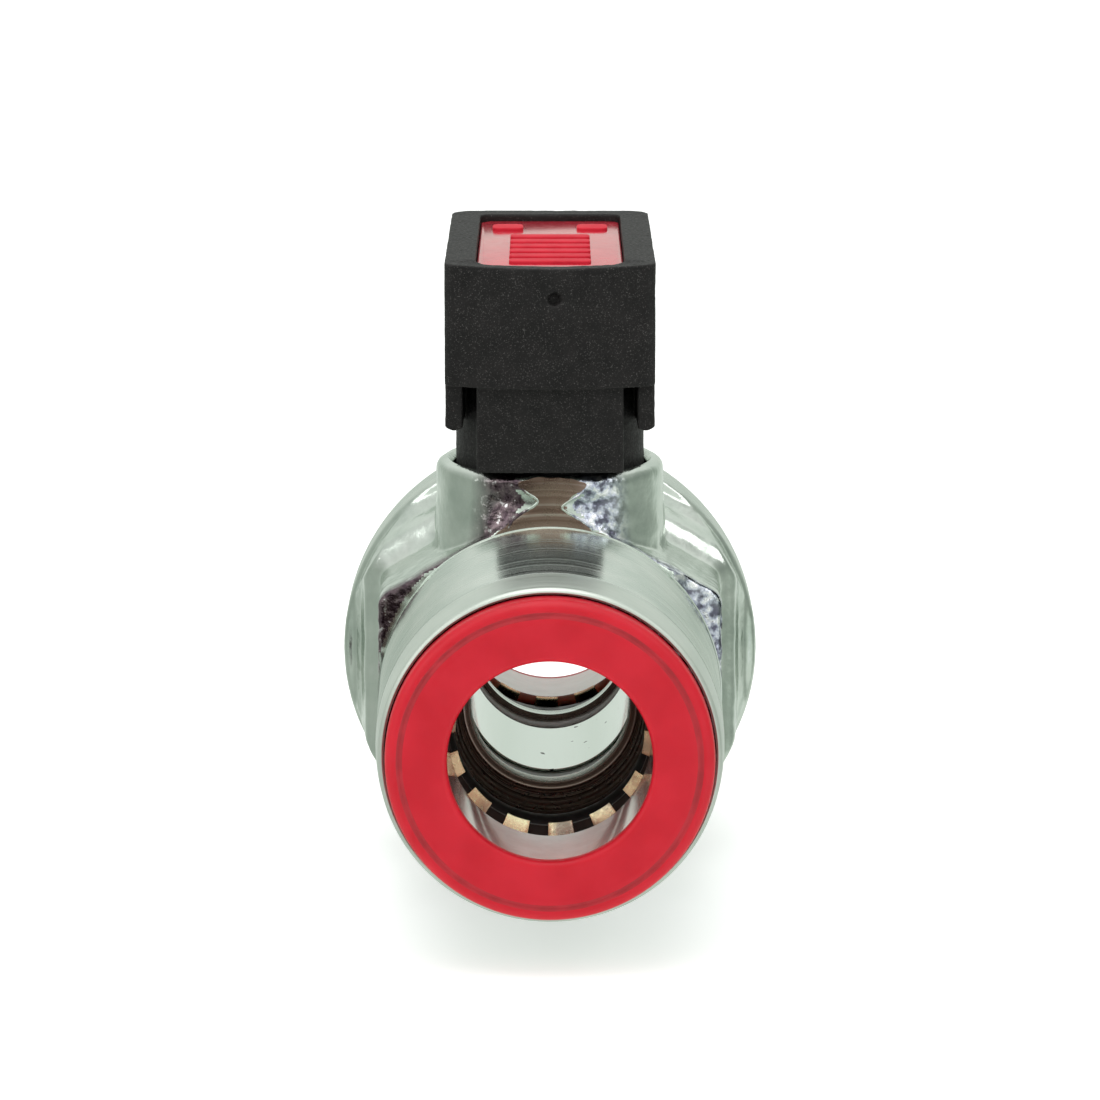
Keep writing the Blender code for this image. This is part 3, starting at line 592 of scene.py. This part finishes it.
def socket_bore(side):
    """Inside of a socket, with the guide's tool grooves and small lead-in chamfers."""
    guide = [(GUIDE_R, SEAL_DEPTH + 0.05), (GUIDE_R - 0.05, SEAL_DEPTH + 0.12)]
    steps = 60
    for i in range(1, steps + 1):
        t = i / steps
        depth = SEAL_DEPTH + 0.12 + t * (STOP_DEPTH - SEAL_DEPTH - 0.16)
        radius = GUIDE_R - 0.05 - (GUIDE_R - STOP_R + 0.05) * t
        groove = 0.010 * (i % 2) + 0.028 * (i % 13 in (4, 6, 8))
        guide.append((radius + groove, depth))
    return along(side, [
        (MOUTH_R + 0.15, HOUSING_FACE - 0.6), (MOUTH_R + 0.15, HOUSING_FACE), (MOUTH_R, HOUSING_FACE + 0.15),
        (MOUTH_R, MOUTH_DEPTH), (GRIP_R + 0.08, MOUTH_DEPTH), (GRIP_R, MOUTH_DEPTH + 0.08),
        (GRIP_R, GRIP_DEPTH), (SEAL_R + 0.06, GRIP_DEPTH), (SEAL_R, GRIP_DEPTH + 0.06), (SEAL_R, SEAL_DEPTH),
        *guide,
        (STOP_R - 0.10, STOP_DEPTH - 0.02), (STOP_R - 0.16, STOP_DEPTH), (LIP_R + 0.20, STOP_DEPTH),
        (LIP_R + 0.18, STOP_DEPTH + 0.05), (LIP_R + 0.06, STOP_DEPTH + 0.06),
        (LIP_R + 0.02, STOP_DEPTH + 0.09), (LIP_R, STOP_DEPTH + 0.18),
    ])


def solid(points):
    """Close a section on the axis it is turned about."""
    return [(0.0, points[0][1]), *points, (0.0, points[-1][1])]


def hex_ring(inradius, corner_round, y):
    """Points of a hexagon with rounded corners and flats facing +X and -X."""
    ring = []
    for k in range(6):
        corner = 30.0 + 60.0 * k
        centre_r = (inradius - corner_round) / math.cos(math.pi / 6)
        cx = centre_r * math.cos(math.radians(corner))
        cz = centre_r * math.sin(math.radians(corner))
        ring += [(x, y, z) for x, z in arc((cx, cz), corner_round, corner - 30.0, corner + 30.0, 8)]
    return ring


# ---------------------------------------------------------------- valve body
def tower_radius(z):
    """Outside radius of the stem tower, a little wider at its foot."""
    return TOWER_R + 0.16 * (1.0 - smoothstep(9.6, 12.0, z))


def waist_depth(z, side):
    """How far the front of the tower is hollowed, which gives the trimmed flat its hourglass shape."""
    return 0.36 * np.exp(-((z - 12.2 + 0.2 * side) / 0.95) ** 2)


def make_forging():
    """Everything the forging die shapes, as one softened skin: hexagon, flared collar and tower."""
    flare = [(0.0, SHOULDER_Y - 0.06), (0.0, 0.9), (0.05, 1.3), (0.25, 1.8), (0.62, 2.25), (1.05, 2.6),
             (1.25, 2.9), (1.34, 3.5), (1.5, 4.6), (1.95, 5.6), (2.5, 6.3)]
    skin = loft("forging", [hex_ring(HEX_INRADIUS + f, 1.0 + f * 0.5, y) for f, y in flare])
    limit = lathe("limit", solid([(COLLAR_R - 0.3, SHOULDER_Y - 1), (COLLAR_R - 0.3, 9.0)]))
    combine(skin, limit, "INTERSECT", "EXACT")
    collar = lathe("collar", solid([
        (COLLAR_R - 0.55, COLLAR_FRONT_Y), (COLLAR_R - 0.16, COLLAR_FRONT_Y + 0.14),
        (COLLAR_R, COLLAR_FRONT_Y + 0.5), (COLLAR_R, COLLAR_REAR_Y - 0.45),
        (COLLAR_R - 0.12, COLLAR_REAR_Y - 0.14), (COLLAR_R - 0.45, COLLAR_REAR_Y)]))
    heights = np.linspace(4.0, TOWER_TOP_Z - 0.75, 40)
    side = [(float(tower_radius(z)), float(z)) for z in heights]
    rim_r = 0.68
    rolled = arc((TOWER_R - rim_r, TOWER_TOP_Z - rim_r), rim_r, 0.0, 88.0, 8)
    tower = lathe("tower", solid([*side, *rolled, (TOWER_R - 2.0, TOWER_TOP_Z)]), axis="Z")
    join(skin, collar, tower)
    remesh(skin, 0.15, smooth=7)
    return skin


def shape_forging(skin):
    """Hollow the front of the tower, and let the right front corner of the hexagon lean back."""
    co = points_of(skin)
    x, y, z = co[:, 0].copy(), co[:, 1].copy(), co[:, 2].copy()
    reach = np.hypot(x, y) + 1e-9
    frontal = smoothstep(0.80, 0.93, -y / reach) * smoothstep(6.2, 6.8, reach) * smoothstep(9.5, 10.5, z)
    push = frontal * waist_depth(z, np.sign(x))
    co[:, 0] -= x / reach * push
    co[:, 1] -= y / reach * push
    front = 1.0 - smoothstep(-6.6, -5.9, y)
    lean = 0.15 * np.clip(x - 8.2, 0.0, 3.0) + 0.20 * np.clip(z - 3.5, 0.0, 4.0) * smoothstep(7.6, 8.6, x)
    co[:, 1] += front * lean
    set_points(skin, co)


def make_valve_body():
    body = make_forging()
    shape_forging(body)
    co = points_of(body)
    calm = 1.0 - smoothstep(COLLAR_FRONT_Y + 0.2, COLLAR_FRONT_Y + 0.8, co[:, 1])
    fore = smoothstep(4.6, 6.2, -co[:, 1])
    roughen(body, 0.055, 2.2, 3.0, calm)
    roughen(body, 0.07, 0.75, 8.0, calm * (0.3 + 0.7 * fore))

    # The shoulder tool trims the tower's front to a flat
    combine(body, box("trim", (-9.0, -14.0, 9.0), (9.0, SHOULDER_Y, 16.0)), "DIFFERENCE")

    housing = solid([
        *nose(-1),
        (HOUSING_R + 0.20, SHOULDER_Y - 0.12), (HOUSING_R + 0.23, SHOULDER_Y - 0.05),
        (HOUSING_R + 0.30, SHOULDER_Y - 0.02), (HOUSING_R + 0.30, SHOULDER_Y + 0.4),
        (HOUSING_R - 0.6, SHOULDER_Y + 1.2), (HOUSING_R - 0.6, 0.0),
    ])
    combine(body, lathe("housing", housing), "UNION")

    bore = solid([
        *socket_bore(-1),
        (LIP_R, -SEAT_BACK_Y), (CHAMBER_R, -SEAT_BACK_Y), (CHAMBER_R, THREAD_START_Y),
        (THREAD_R, THREAD_START_Y), (THREAD_R, THREAD_END_Y), (CONNECTOR_SEAL_R, THREAD_END_Y),
        (CONNECTOR_SEAL_R, COLLAR_REAR_Y - 0.2), (CONNECTOR_SEAL_R + 0.2, COLLAR_REAR_Y + 1.0),
    ])
    combine(body, lathe("flow_bore", bore), "DIFFERENCE")
    stem_bore = solid([
        (STEM_SEAL_R, 6.5), (STEM_SEAL_R, STEM_SEAL_TOP_Z), (STEM_R + 0.1, STEM_SEAL_TOP_Z),
        (STEM_R + 0.1, CUP_FLOOR_Z), (CUP_R, CUP_FLOOR_Z), (CUP_R, TOWER_TOP_Z - 0.42),
        (CUP_R + 0.05, TOWER_TOP_Z - 0.30), (CUP_R + 0.62, TOWER_TOP_Z + 0.25),
        (CUP_R + 0.62, TOWER_TOP_Z + 1.0),
    ])
    combine(body, lathe("stem_bore", stem_bore, axis="Z"), "DIFFERENCE")
    low_z, top_z = CUP_FLOOR_Z - 0.2, CUP_FLOOR_Z + 1.0
    lug = [(4.2, low_z), (4.2, top_z - 0.1), (4.3, top_z), (CUP_R + 0.2, top_z), (CUP_R + 0.2, low_z)]
    lug = lathe("stop_lug", lug, axis="Z", segments=16, start=math.radians(165), sweep=math.radians(30))
    combine(body, lug, "UNION")

    # Soft raised edges where the trimmed flat meets the forged skin
    for side in (-1, 1):
        join(body, make_trim_edge(side))

    centres, normals = face_data(body)
    y, z, facing_y = centres[:, 1], centres[:, 2], normals[:, 1]
    radius = np.hypot(centres[:, 0], z)
    stem_radius = np.hypot(centres[:, 0], y)
    from_shoulder = np.abs(y - SHOULDER_Y)
    on_nose = y < RIM_DEPTH - END_Y - 0.02
    flat = (from_shoulder < 0.03) & (facing_y < -0.98) & (z > 9.0)
    inside = (radius < SEAL_R + 0.2) & (y < COLLAR_REAR_Y) & (z < 9.6) & (facing_y < 0.5)
    turned = ((y < SHOULDER_Y + 0.03) & (radius > 9.9) & (radius < 11.0)) | (y > COLLAR_FRONT_Y + 0.35)
    index = np.zeros(len(centres), dtype=np.int32)
    index[turned & ~flat] = 1
    index[flat] = 2
    index[on_nose & (radius > 9.9)] = 3
    index[inside] = 4
    index[(radius < LIP_R + 0.04) & (np.abs(y) > SEAT_BACK_Y - 0.1)] = 1
    index[(from_shoulder < 0.16) & ~flat & (z > 10.4) & (stem_radius < 7.0)] = 1
    set_materials(body, ["forged_plating", "turned_plating", "faced_plating", "satin_plating",
                         "bored_plating"], index)
    body.name = "valve_body_forged"
    return place(body, "valve", ["valve_body"])


def make_trim_edge(side):
    """A thin rounded lip along one side of the hourglass flat."""
    heights = np.linspace(10.6, 13.3, 36)
    path = []
    for z in heights:
        reach = float(tower_radius(z) - waist_depth(z, side)) ** 2 - SHOULDER_Y ** 2
        path.append((side * (math.sqrt(max(reach, 0.0)) + 0.02), SHOULDER_Y + 0.02, float(z)))
    rings = []
    for i, point in enumerate(path):
        before, after = path[max(i - 1, 0)], path[min(i + 1, len(path) - 1)]
        tangent = (Vector(after) - Vector(before)).normalized()
        first = tangent.cross(Vector((0, 1, 0))).normalized()
        second = tangent.cross(first).normalized()
        thick = 0.11 * (0.75 + 0.5 * noise.noise(Vector((i * 0.35, side * 3.0, 0.0))))
        thick *= float(smoothstep(0, 4, i) * smoothstep(0, 4, len(path) - 1 - i)) + 0.05
        rings.append([tuple(Vector(point) + (first * math.cos(a) + second * math.sin(a)) * thick)
                      for a in np.linspace(0, math.tau, 12, endpoint=False)])
    return loft("trim_edge", rings)


# ---------------------------------------------------------------- rear connector
def make_rear_connector():
    neck_r = HOUSING_R - 0.2
    connector = lathe("rear_connector_turned", solid([
        (THREAD_R - 0.4, THREAD_START_Y + 0.15), (THREAD_R - 0.1, THREAD_START_Y + 0.45),
        (THREAD_R - 0.1, THREAD_END_Y), (THREAD_R - 0.45, THREAD_END_Y),
        (THREAD_R - 0.45, COLLAR_REAR_Y + 0.1), (neck_r, COLLAR_REAR_Y + 0.1),
        (neck_r, 14.0), (HOUSING_R, 14.2), *nose(1)]))
    hexagon = loft("wrench_hexagon", [hex_ring(CONNECTOR_INRADIUS, 0.35, y)
                                      for y in (COLLAR_REAR_Y + 0.15, CONNECTOR_HEX_END_Y)])
    chamfer = lathe("chamfer", solid([
        (11.1, COLLAR_REAR_Y), (11.35, COLLAR_REAR_Y + 0.2), (12.55, COLLAR_REAR_Y + 0.95),
        (12.55, CONNECTOR_HEX_END_Y - 0.8), (11.35, CONNECTOR_HEX_END_Y - 0.1),
        (11.1, CONNECTOR_HEX_END_Y + 0.2)]))
    combine(hexagon, chamfer, "INTERSECT", "EXACT")
    soften(hexagon, 0.08, angle=20.0)
    combine(connector, hexagon, "UNION", "EXACT")
    bore = solid([
        (CHAMBER_R - 0.05, THREAD_START_Y - 1.0), (CHAMBER_R - 0.05, SEAT_BACK_Y), (LIP_R, SEAT_BACK_Y),
        *socket_bore(1)])
    combine(connector, lathe("connector_bore", bore), "DIFFERENCE", "EXACT")
    centres, _ = face_data(connector)
    radius = np.hypot(centres[:, 0], centres[:, 2])
    index = np.where((radius < SEAL_R + 0.2) & (radius > LIP_R + 0.04), 1, 0)
    index[(centres[:, 1] > END_Y - RIM_DEPTH + 0.02) & (radius > 9.9)] = 2
    set_materials(connector, ["turned_plating", "bored_plating", "satin_plating"], index)
    return place(connector, "valve", ["rear_connector"])


# ---------------------------------------------------------------- ball and seats
def make_ball():
    edge = 0.28
    start = math.degrees(math.asin((CHANNEL_R + edge) / BALL_R))
    angles = np.radians(np.linspace(start, 180 - start, 120))
    outer = [(BALL_R * math.sin(a), BALL_R * math.cos(a)) for a in angles]
    top = outer[0][1]
    rounded = [(CHANNEL_R, top - 0.30), (CHANNEL_R + 0.04, top - 0.12), (CHANNEL_R + 0.13, top - 0.01)]
    section = [*rounded, *outer, *[(r, -y) for r, y in reversed(rounded)]]
    middle = [(CHANNEL_R, y) for y in np.linspace(-(top - 0.5), top - 0.5, 9)]
    ball = lathe("ball_mirror", section + middle)
    slot = box("slot", (-10, -SLOT_HALF, SLOT_FLOOR_Z), (10, SLOT_HALF, 10))
    combine(ball, slot, "DIFFERENCE", "EXACT")
    set_materials(ball, ["ball_plating"])
    return place(ball, "ball", ["ball"])


def make_seat(name, side, node):
    """A ring whose face is a cone that just clears the ball."""
    lean = math.radians(42.5)
    reach = BALL_R + 0.09
    inner_r, outer_r = CHANNEL_R + 0.1, CHAMBER_R - 0.2
    back = SEAT_BACK_Y - 0.05
    cone_r = (reach - SEAT_FACE_Y * math.sin(lean)) / math.cos(lean)
    bore_y = (reach - inner_r * math.cos(lean)) / math.sin(lean)
    section = [(cone_r, SEAT_FACE_Y), (cone_r + 0.08, SEAT_FACE_Y), (outer_r - 0.08, SEAT_FACE_Y),
               (outer_r, SEAT_FACE_Y + 0.08), (outer_r, back - 0.08), (outer_r - 0.08, back),
               (inner_r + 0.08, back), (inner_r, back - 0.08),
               (inner_r, bore_y + 0.06), (inner_r + 0.04, bore_y - 0.02)]
    seat = lathe(name, [(r, side * y) for r, y in section])
    set_materials(seat, ["filled_ptfe_seat"])
    return place(seat, "valve", [node])


# ---------------------------------------------------------------- push-in ends
def make_collet(name, side, body, node):
    bore_edge = [(COLLET_BORE_R + 0.35 - 0.35 * math.cos(a), 0.35 - 0.35 * math.sin(a))
                 for a in np.radians(np.linspace(0, 90, 9))]
    groove = [(8.74, 0.005), (8.84, 0.035), (8.91, 0.10), (8.98, 0.115), (9.06, 0.085), (9.12, 0.05)]
    rim = arc((COLLET_R - 0.62, 0.66), 0.62, -88.0, 0.0, 16)
    stem = [(6.75, 1.7), (6.75, 4.4), (7.0, 4.4), (7.15, 4.5), (7.15, 4.9), (6.35, 5.95)]
    section = [
        (COLLET_BORE_R, 6.0), (COLLET_BORE_R, 0.75), *bore_edge, (7.2, 0.0), (8.3, 0.0), *groove,
        *rim, (COLLET_R, 1.2), (COLLET_R, 1.6), (COLLET_R - 0.1, 1.7), *stem,
    ]
    collet = lathe(name, at_end(side, section), segments=256)
    centres, _ = face_data(collet)
    radius = np.hypot(centres[:, 0], centres[:, 2])
    depth = END_Y - np.abs(centres[:, 1])
    # The bore and the inner end take the paler copy of the red: painted glow
    index = np.where(((radius < COLLET_BORE_R + 0.03) & (depth > 0.7)) | (depth > 5.0), 1, 0)
    # Faces in the groove take the darker red of painted shade
    index[(radius > 8.78) & (radius < 9.14) & (depth < 0.2)] = 2
    set_materials(collet, ["red_acetal_satin", "red_acetal_polished", "red_acetal_groove"], index)
    return place(collet, body, [node], sharp=50)


def make_claws(name, side, node):
    """The stamped ring with its bent teeth, each with rounded corners."""
    ring = [(9.05, 6.12), (9.05, 6.44), (7.4, 6.44), (7.3, 6.38), (7.3, 6.18), (7.4, 6.12)]
    ring = lathe(name, at_end(side, ring), segments=12 * TEETH)
    pitch = math.tau / TEETH
    width = pitch * 0.565
    lowest = math.pi * 1.5
    turned_by = math.radians(6.2 if side < 0 else -2.0)
    teeth = []
    for k in range(TEETH):
        bend = 0.10 * noise.noise(Vector((k * 1.7, 0.3, 0.0)))
        tooth = [(7.5, 6.14), (7.5, 6.44), (7.25, 6.98), (5.88, 7.88 + bend), (5.80, 7.84 + bend),
                 (5.72, 7.66 + bend), (5.74, 7.60 + bend), (7.2, 6.60)]
        tooth = lathe("tooth", at_end(side, tooth), segments=6,
                      start=lowest + turned_by + k * pitch - width / 2, sweep=width)
        shape = bmesh.new()
        shape.from_mesh(tooth.data)
        corners = [e for e in shape.edges
                   if len(e.link_faces) == 2 and e.calc_face_angle(0.0) > math.radians(60)]
        bmesh.ops.bevel(shape, geom=corners, offset=0.04, segments=2, affect="EDGES", profile=0.6)
        shape.to_mesh(tooth.data)
        shape.free()
        teeth.append(tooth)
    join(ring, *teeth)
    tidy(ring, 1e-5)
    set_materials(ring, ["claw_steel"])
    return place(ring, "valve", [node])


def make_tube_seal(name, side, node):
    centre_r, centre_depth, cord_r = 7.04, 10.17, 1.12
    seal = lathe(name, arc((centre_r, side * (END_Y - centre_depth)), cord_r, 0.0, 352.5, 47))
    set_materials(seal, ["black_nitrile_seal"])
    return place(seal, "valve", [node], sharp=80)


def make_support_ring(name, side, node):
    section = [(8.3, 6.66), (8.24, 6.6), (7.8, 6.6), (7.75, 6.66), (7.75, 7.2), (6.28, 8.5), (6.2, 8.6),
               (6.2, 8.88), (6.27, 8.95), (8.24, 8.95), (8.3, 8.89)]
    ring = lathe(name, at_end(side, section))
    set_materials(ring, ["dark_polymer"])
    return place(ring, "valve", [node])


# ---------------------------------------------------------------- lever and badge
def cut_lever():
    """The lever block with its hub, rib, skirts and hollows, before the edges are softened."""
    half, front, tip, bottom, top = LEVER_HALF, LEVER_FRONT_Y, LEVER_TIP_Y, LEVER_BOTTOM_Z, LEVER_TOP_Z
    lever = prism("lever_moulded", rounded_rect(-half, half, front, tip, 0.55, 1.5), bottom, top)

    def add(tool):
        combine(lever, tool, "UNION", "EXACT")

    def cut(tool):
        combine(lever, tool, "DIFFERENCE", "EXACT")

    slope_start_y, slope_rise = 6.6, 2.4
    slope = math.atan2(slope_rise, tip - slope_start_y)
    wedge = box("wedge", (-10, 0, -6), (10, 22, 0))
    wedge.data.transform(Matrix.Translation((0, slope_start_y, bottom)) @ Matrix.Rotation(slope, 4, "X"))
    cut(wedge)
    hub = solid([(HUB_R - 0.1, HUB_BOTTOM_Z), (HUB_R, HUB_BOTTOM_Z + 0.1), (HUB_R, bottom + 1)])
    add(lathe("hub", hub, axis="Z"))
    add(box("rib", (-4.55, -7.1, 14.25), (4.55, 0, bottom + 0.5)))
    for side in (-1, 1):
        add(make_skirt(side))
    cut(prism("pocket", rounded_rect(-4.9, 4.9, 7.4, 15.6, 0.5, 0.9), bottom - 2, 25.0))
    cut(prism("recess", rounded_rect(-4.6, 4.6, -6.4, 15.0, 0.8, 0.8), 26.2, top + 1))
    cut(lathe("screw_well", solid([(3.2, 18.7), (3.2, 26.7)]), axis="Z", segments=96))
    cut(prism("drive", rounded_rect(-2.2, 2.2, -2.2, 2.2, 0.3, 0.3), 11.2, 19.2))
    cut(lathe("notch", [(4.0, 11.2), (6.6, 11.2), (6.6, 13.2), (4.0, 13.2)], axis="Z", segments=48,
              start=math.radians(163), sweep=math.radians(124)))
    return lever


def shape_lever(lever):
    """Bow both long edges of the front face downwards and leave the pitted mark of the moulding gate."""
    co = points_of(lever)
    x, y, z = co[:, 0].copy(), co[:, 1].copy(), co[:, 2].copy()
    belly = 1.0 - (x / LEVER_HALF) ** 2
    co[:, 2] -= 0.30 * belly * (1.0 - smoothstep(-6.6, -5.6, y)) * smoothstep(26.6, 27.3, z)
    co[:, 2] -= 0.22 * belly * (1.0 - smoothstep(-7.2, -7.0, y)) * (1.0 - smoothstep(19.8, 20.6, z))
    gate_x, gate_z = 0.27, 25.2
    from_gate = np.hypot(x - gate_x, z - gate_z)
    ripple = np.array([noise.noise(Vector((px * 5.0, 0.0, pz * 5.0))) for px, pz in zip(x, z)])
    on_face = y < LEVER_FRONT_Y + 0.2
    co[:, 1] += on_face * 0.50 * (1.0 - smoothstep(0.26, 0.50, from_gate + 0.12 * ripple))
    co[:, 1] -= on_face * 0.12 * np.exp(-((from_gate - 0.66) / 0.13) ** 2) * (1.0 + ripple)
    set_points(lever, co)


def make_lever():
    lever = cut_lever()
    remesh(lever, 0.11, smooth=5)
    shape_lever(lever)
    roughen(lever, 0.030, 1.7, 2.0)
    roughen(lever, 0.018, 0.35, 5.0)
    co = points_of(lever)
    co[:, 0] = np.clip(co[:, 0], -LEVER_HALF, LEVER_HALF)
    co[:, 1] = np.clip(co[:, 1], LEVER_FRONT_Y, LEVER_TIP_Y)
    co[:, 2] = np.clip(co[:, 2], HUB_BOTTOM_Z, LEVER_TOP_Z)
    set_points(lever, co)
    set_materials(lever, ["glass_filled_nylon"])
    return place(lever, "handle", ["lever"], sharp=80)


def make_skirt(side):
    """A side skirt with its outer lower corner rounded."""
    inside, outside, top_z = LEVER_HALF - 1.1, LEVER_HALF - 0.02, LEVER_BOTTOM_Z + 0.5
    corner = arc((outside - 0.55, 17.55), 0.75, 250.0, 330.0, 6)[1:]
    outline = [(inside, top_z), (inside, 16.95), *corner, (outside, 17.7), (outside, top_z)]
    return loft("skirt", [[(side * x, y, z) for x, z in outline] for y in (-6.6, 6.5)])


def make_badge():
    """Inlay with plain raised cross bars and two pads: decoration only."""
    outline = rounded_rect(-4.55, 4.55, -6.35, 14.95, 0.8, 0.8)
    plate = prism("badge_inlay", outline, BADGE_BOTTOM_Z, BADGE_TOP_Z)
    soften(plate, 0.12)
    raised = []

    def raise_part(name, x0, x1, y0, y1, corner_r):
        outline = rounded_rect(x0, x1, y0, y1, corner_r, corner_r)
        raised.append(soften(prism(name, outline, BADGE_TOP_Z - 0.2, BADGE_TOP_Z + BADGE_RELIEF), 0.08))

    for k in range(6):
        y = -4.6 + k * 2.15
        raise_part("bar", -2.55, 2.55, y, y + 1.25, 0.3)
    for side in (-1, 1):
        raise_part("pad", side * 2.75 - 1.0, side * 2.75 + 1.0, 10.2, 12.2, 0.5)
    flat_faces = len(plate.data.polygons)
    join(plate, *raised)
    index = (np.arange(len(plate.data.polygons)) >= flat_faces).astype(np.int32)
    set_materials(plate, ["red_inlay_gloss", "red_inlay_matt"], index)
    return place(plate, "handle", ["badge_insert"])


# ---------------------------------------------------------------- studio
def make_studio():
    scene = bpy.context.scene
    reach, floor_z = 4000, cad_box[0].z / MM
    corners = [(x * reach, y * reach, floor_z) for x, y in ((-1, -1), (1, -1), (1, 1), (-1, 1))]
    floor = make_object("studio_floor", corners, [(0, 1, 2, 3)])
    floor.data.transform(Matrix.Scale(MM, 4))
    pale = Shader("pale_floor", (0.93, 0.93, 0.93), 0.0, 0.8)
    pale.set(Emission_Color=(1.0, 1.0, 1.0, 1.0), Emission_Strength=0.35)
    floor.data.materials.append(pale.material)
    floor.visible_glossy = False

    world = bpy.data.worlds.new("soft_studio")
    scene.world = world
    world.use_nodes = True
    sky = Graph(world.node_tree)
    sky.tree.nodes.clear()
    out = sky.add("ShaderNodeOutputWorld")
    coords = sky.add("ShaderNodeTexCoord").outputs["Generated"]

    def facing(direction, *stops):
        """Colour the sky by the cosine of the angle to a direction."""
        dot = sky.add("ShaderNodeVectorMath", operation="DOT_PRODUCT")
        sky.link(coords, dot.inputs[0])
        dot.inputs[1].default_value = Vector(direction).normalized()
        spread = sky.remap(dot.outputs["Value"], 0.0, 1.0, -1.0, 1.0)
        return sky.ramp(spread, *[((cosine + 1.0) / 2.0, colour) for cosine, colour in stops])

    def multiply(a, b):
        mix = sky.add("ShaderNodeMix", data_type="RGBA", blend_type="MULTIPLY")
        mix.inputs["Factor"].default_value = 1.0
        sky.link(a, mix.inputs["A"])
        sky.link(b, mix.inputs["B"])
        return mix.outputs["Result"]

    def fade_along(axis, start, end):
        """Fall smoothly from 1 to 0 while one component of the direction goes from start to end."""
        parts = sky.add("ShaderNodeSeparateXYZ")
        sky.link(coords, parts.inputs[0])
        return sky.remap(parts.outputs[axis], 1.0, 0.0, start, end, interpolation_type="SMOOTHSTEP")

    def shade_by(base, colour, *masks):
        """Blend the base towards a colour where every mask is 1."""
        factor = masks[0]
        for mask in masks[1:]:
            factor = sky.times(factor, mask)
        return sky.blend(factor, base, colour)

    height = facing((0, 0, 1), (-1.0, (0.62, 0.68, 0.62)), (-0.25, (0.74, 0.80, 0.74)),
                    (0.12, (0.66, 0.72, 0.66)), (0.45, (0.80, 0.84, 0.80)), (1.0, (1.0, 1.0, 1.0)))
    right = facing((1.0, 0.15, 0.25), (0.70, (1.0, 1.0, 1.0)), (0.86, (0.55, 0.57, 0.55)),
                   (1.0, (0.40, 0.42, 0.41)))
    left = facing((-1.0, 0.1, 0.0), (0.45, (1.0, 1.0, 1.0)), (0.80, (0.66, 0.67, 0.66)),
                  (1.0, (0.56, 0.57, 0.56)))
    around = multiply(multiply(height, right), left)

    # Low in front of the object stand a bright panel to the right and dark ones to the left and ahead
    low = fade_along("Z", -0.06, 0.10)
    fore = fade_along("Y", -0.80, -0.60)
    ahead = fade_along("Y", -0.97, -0.90)
    bright = shade_by(around, (1.05, 1.08, 1.12), fade_along("X", 0.46, 0.24), fore, low)
    purple = shade_by(bright, (0.045, 0.030, 0.038), fade_along("X", 0.16, 0.34), fore, low)
    studio = shade_by(purple, (0.085, 0.050, 0.037), fade_along("X", 0.14, 0.30), ahead, low)

    # The camera sees a plain white background instead
    lit = sky.add("ShaderNodeBackground")
    lit.inputs["Strength"].default_value = 1.0
    sky.link(studio, lit.inputs["Color"])
    plain = sky.add("ShaderNodeBackground")
    plain.inputs["Color"].default_value = (1.0, 1.0, 1.0, 1.0)
    seen = sky.add("ShaderNodeLightPath")
    mix = sky.add("ShaderNodeMixShader")
    sky.link(seen.outputs["Is Camera Ray"], mix.inputs["Fac"])
    sky.link(lit.outputs[0], mix.inputs[1])
    sky.link(plain.outputs[0], mix.inputs[2])
    sky.link(mix.outputs[0], out.inputs["Surface"])

    def softbox(name, location, target, size, power):
        light = bpy.data.lights.new(name, "AREA")
        light.shape = "RECTANGLE"
        light.size, light.size_y = size
        light.energy = power
        lamp = bpy.data.objects.new(name, light)
        scene.collection.objects.link(lamp)
        lamp.location = location
        lamp.rotation_mode = "QUATERNION"
        lamp.rotation_quaternion = (Vector(target) - Vector(location)).to_track_quat("-Z", "Y")

    softbox("key_top", (-0.05, -0.10, 0.55), (0, 0, 0), (0.45, 0.45), 1.1)
    softbox("fill_left", (-0.45, -0.25, 0.25), (0, 0, 0), (0.35, 0.35), 0.5)
    softbox("fill_right", (0.40, -0.15, 0.35), (0, 0, 0), (0.20, 0.30), 0.25)

    camera = bpy.data.cameras.new("photo_view")
    camera.sensor_width = 36.0
    camera.lens = 147.3
    camera.clip_start, camera.clip_end = 0.01, 20.0
    view = bpy.data.objects.new("photo_view", camera)
    scene.collection.objects.link(view)
    view.location = (0.0, -0.2810, 0.0676)
    view.rotation_euler = (math.radians(78.0), 0.0, 0.0)
    scene.camera = view
    scene.view_settings.view_transform = "Standard"
    scene.view_settings.look = "None"


# ---------------------------------------------------------------- assembly
CARRIED = {
    "connector_seal": "black_nitrile_seal",
    "stem": "turned_brass_bare",
    "stem_washer": "white_ptfe_washer",
    "stem_oring_lower": "black_nitrile_seal",
    "stem_oring_upper": "black_nitrile_seal",
    "lever_screw": "zinc_plated_steel",
    "lever_washer": "zinc_plated_steel",
    "front_retaining_sleeve": "turned_brass_bare",
    "rear_retaining_sleeve": "turned_brass_bare",
}

make_materials()
for node, finish in CARRIED.items():
    for material_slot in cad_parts[node].material_slots:
        material_slot.material = bpy.data.materials[finish]

make_valve_body()
make_rear_connector()
make_ball()
for end, sign in (("front", -1), ("rear", 1)):
    make_seat(f"seat_{end}_turned", sign, f"seat_{end}")
    make_collet(f"{end}_collet_moulded", sign, f"{end}_release", f"{end}_collet")
    make_claws(f"{end}_claws_stamped", sign, f"{end}_claw_ring")
    make_tube_seal(f"{end}_seal_moulded", sign, f"{end}_tube_seal")
    make_support_ring(f"{end}_support_moulded", sign, f"{end}_support_ring")
make_lever()
make_badge()
make_studio()
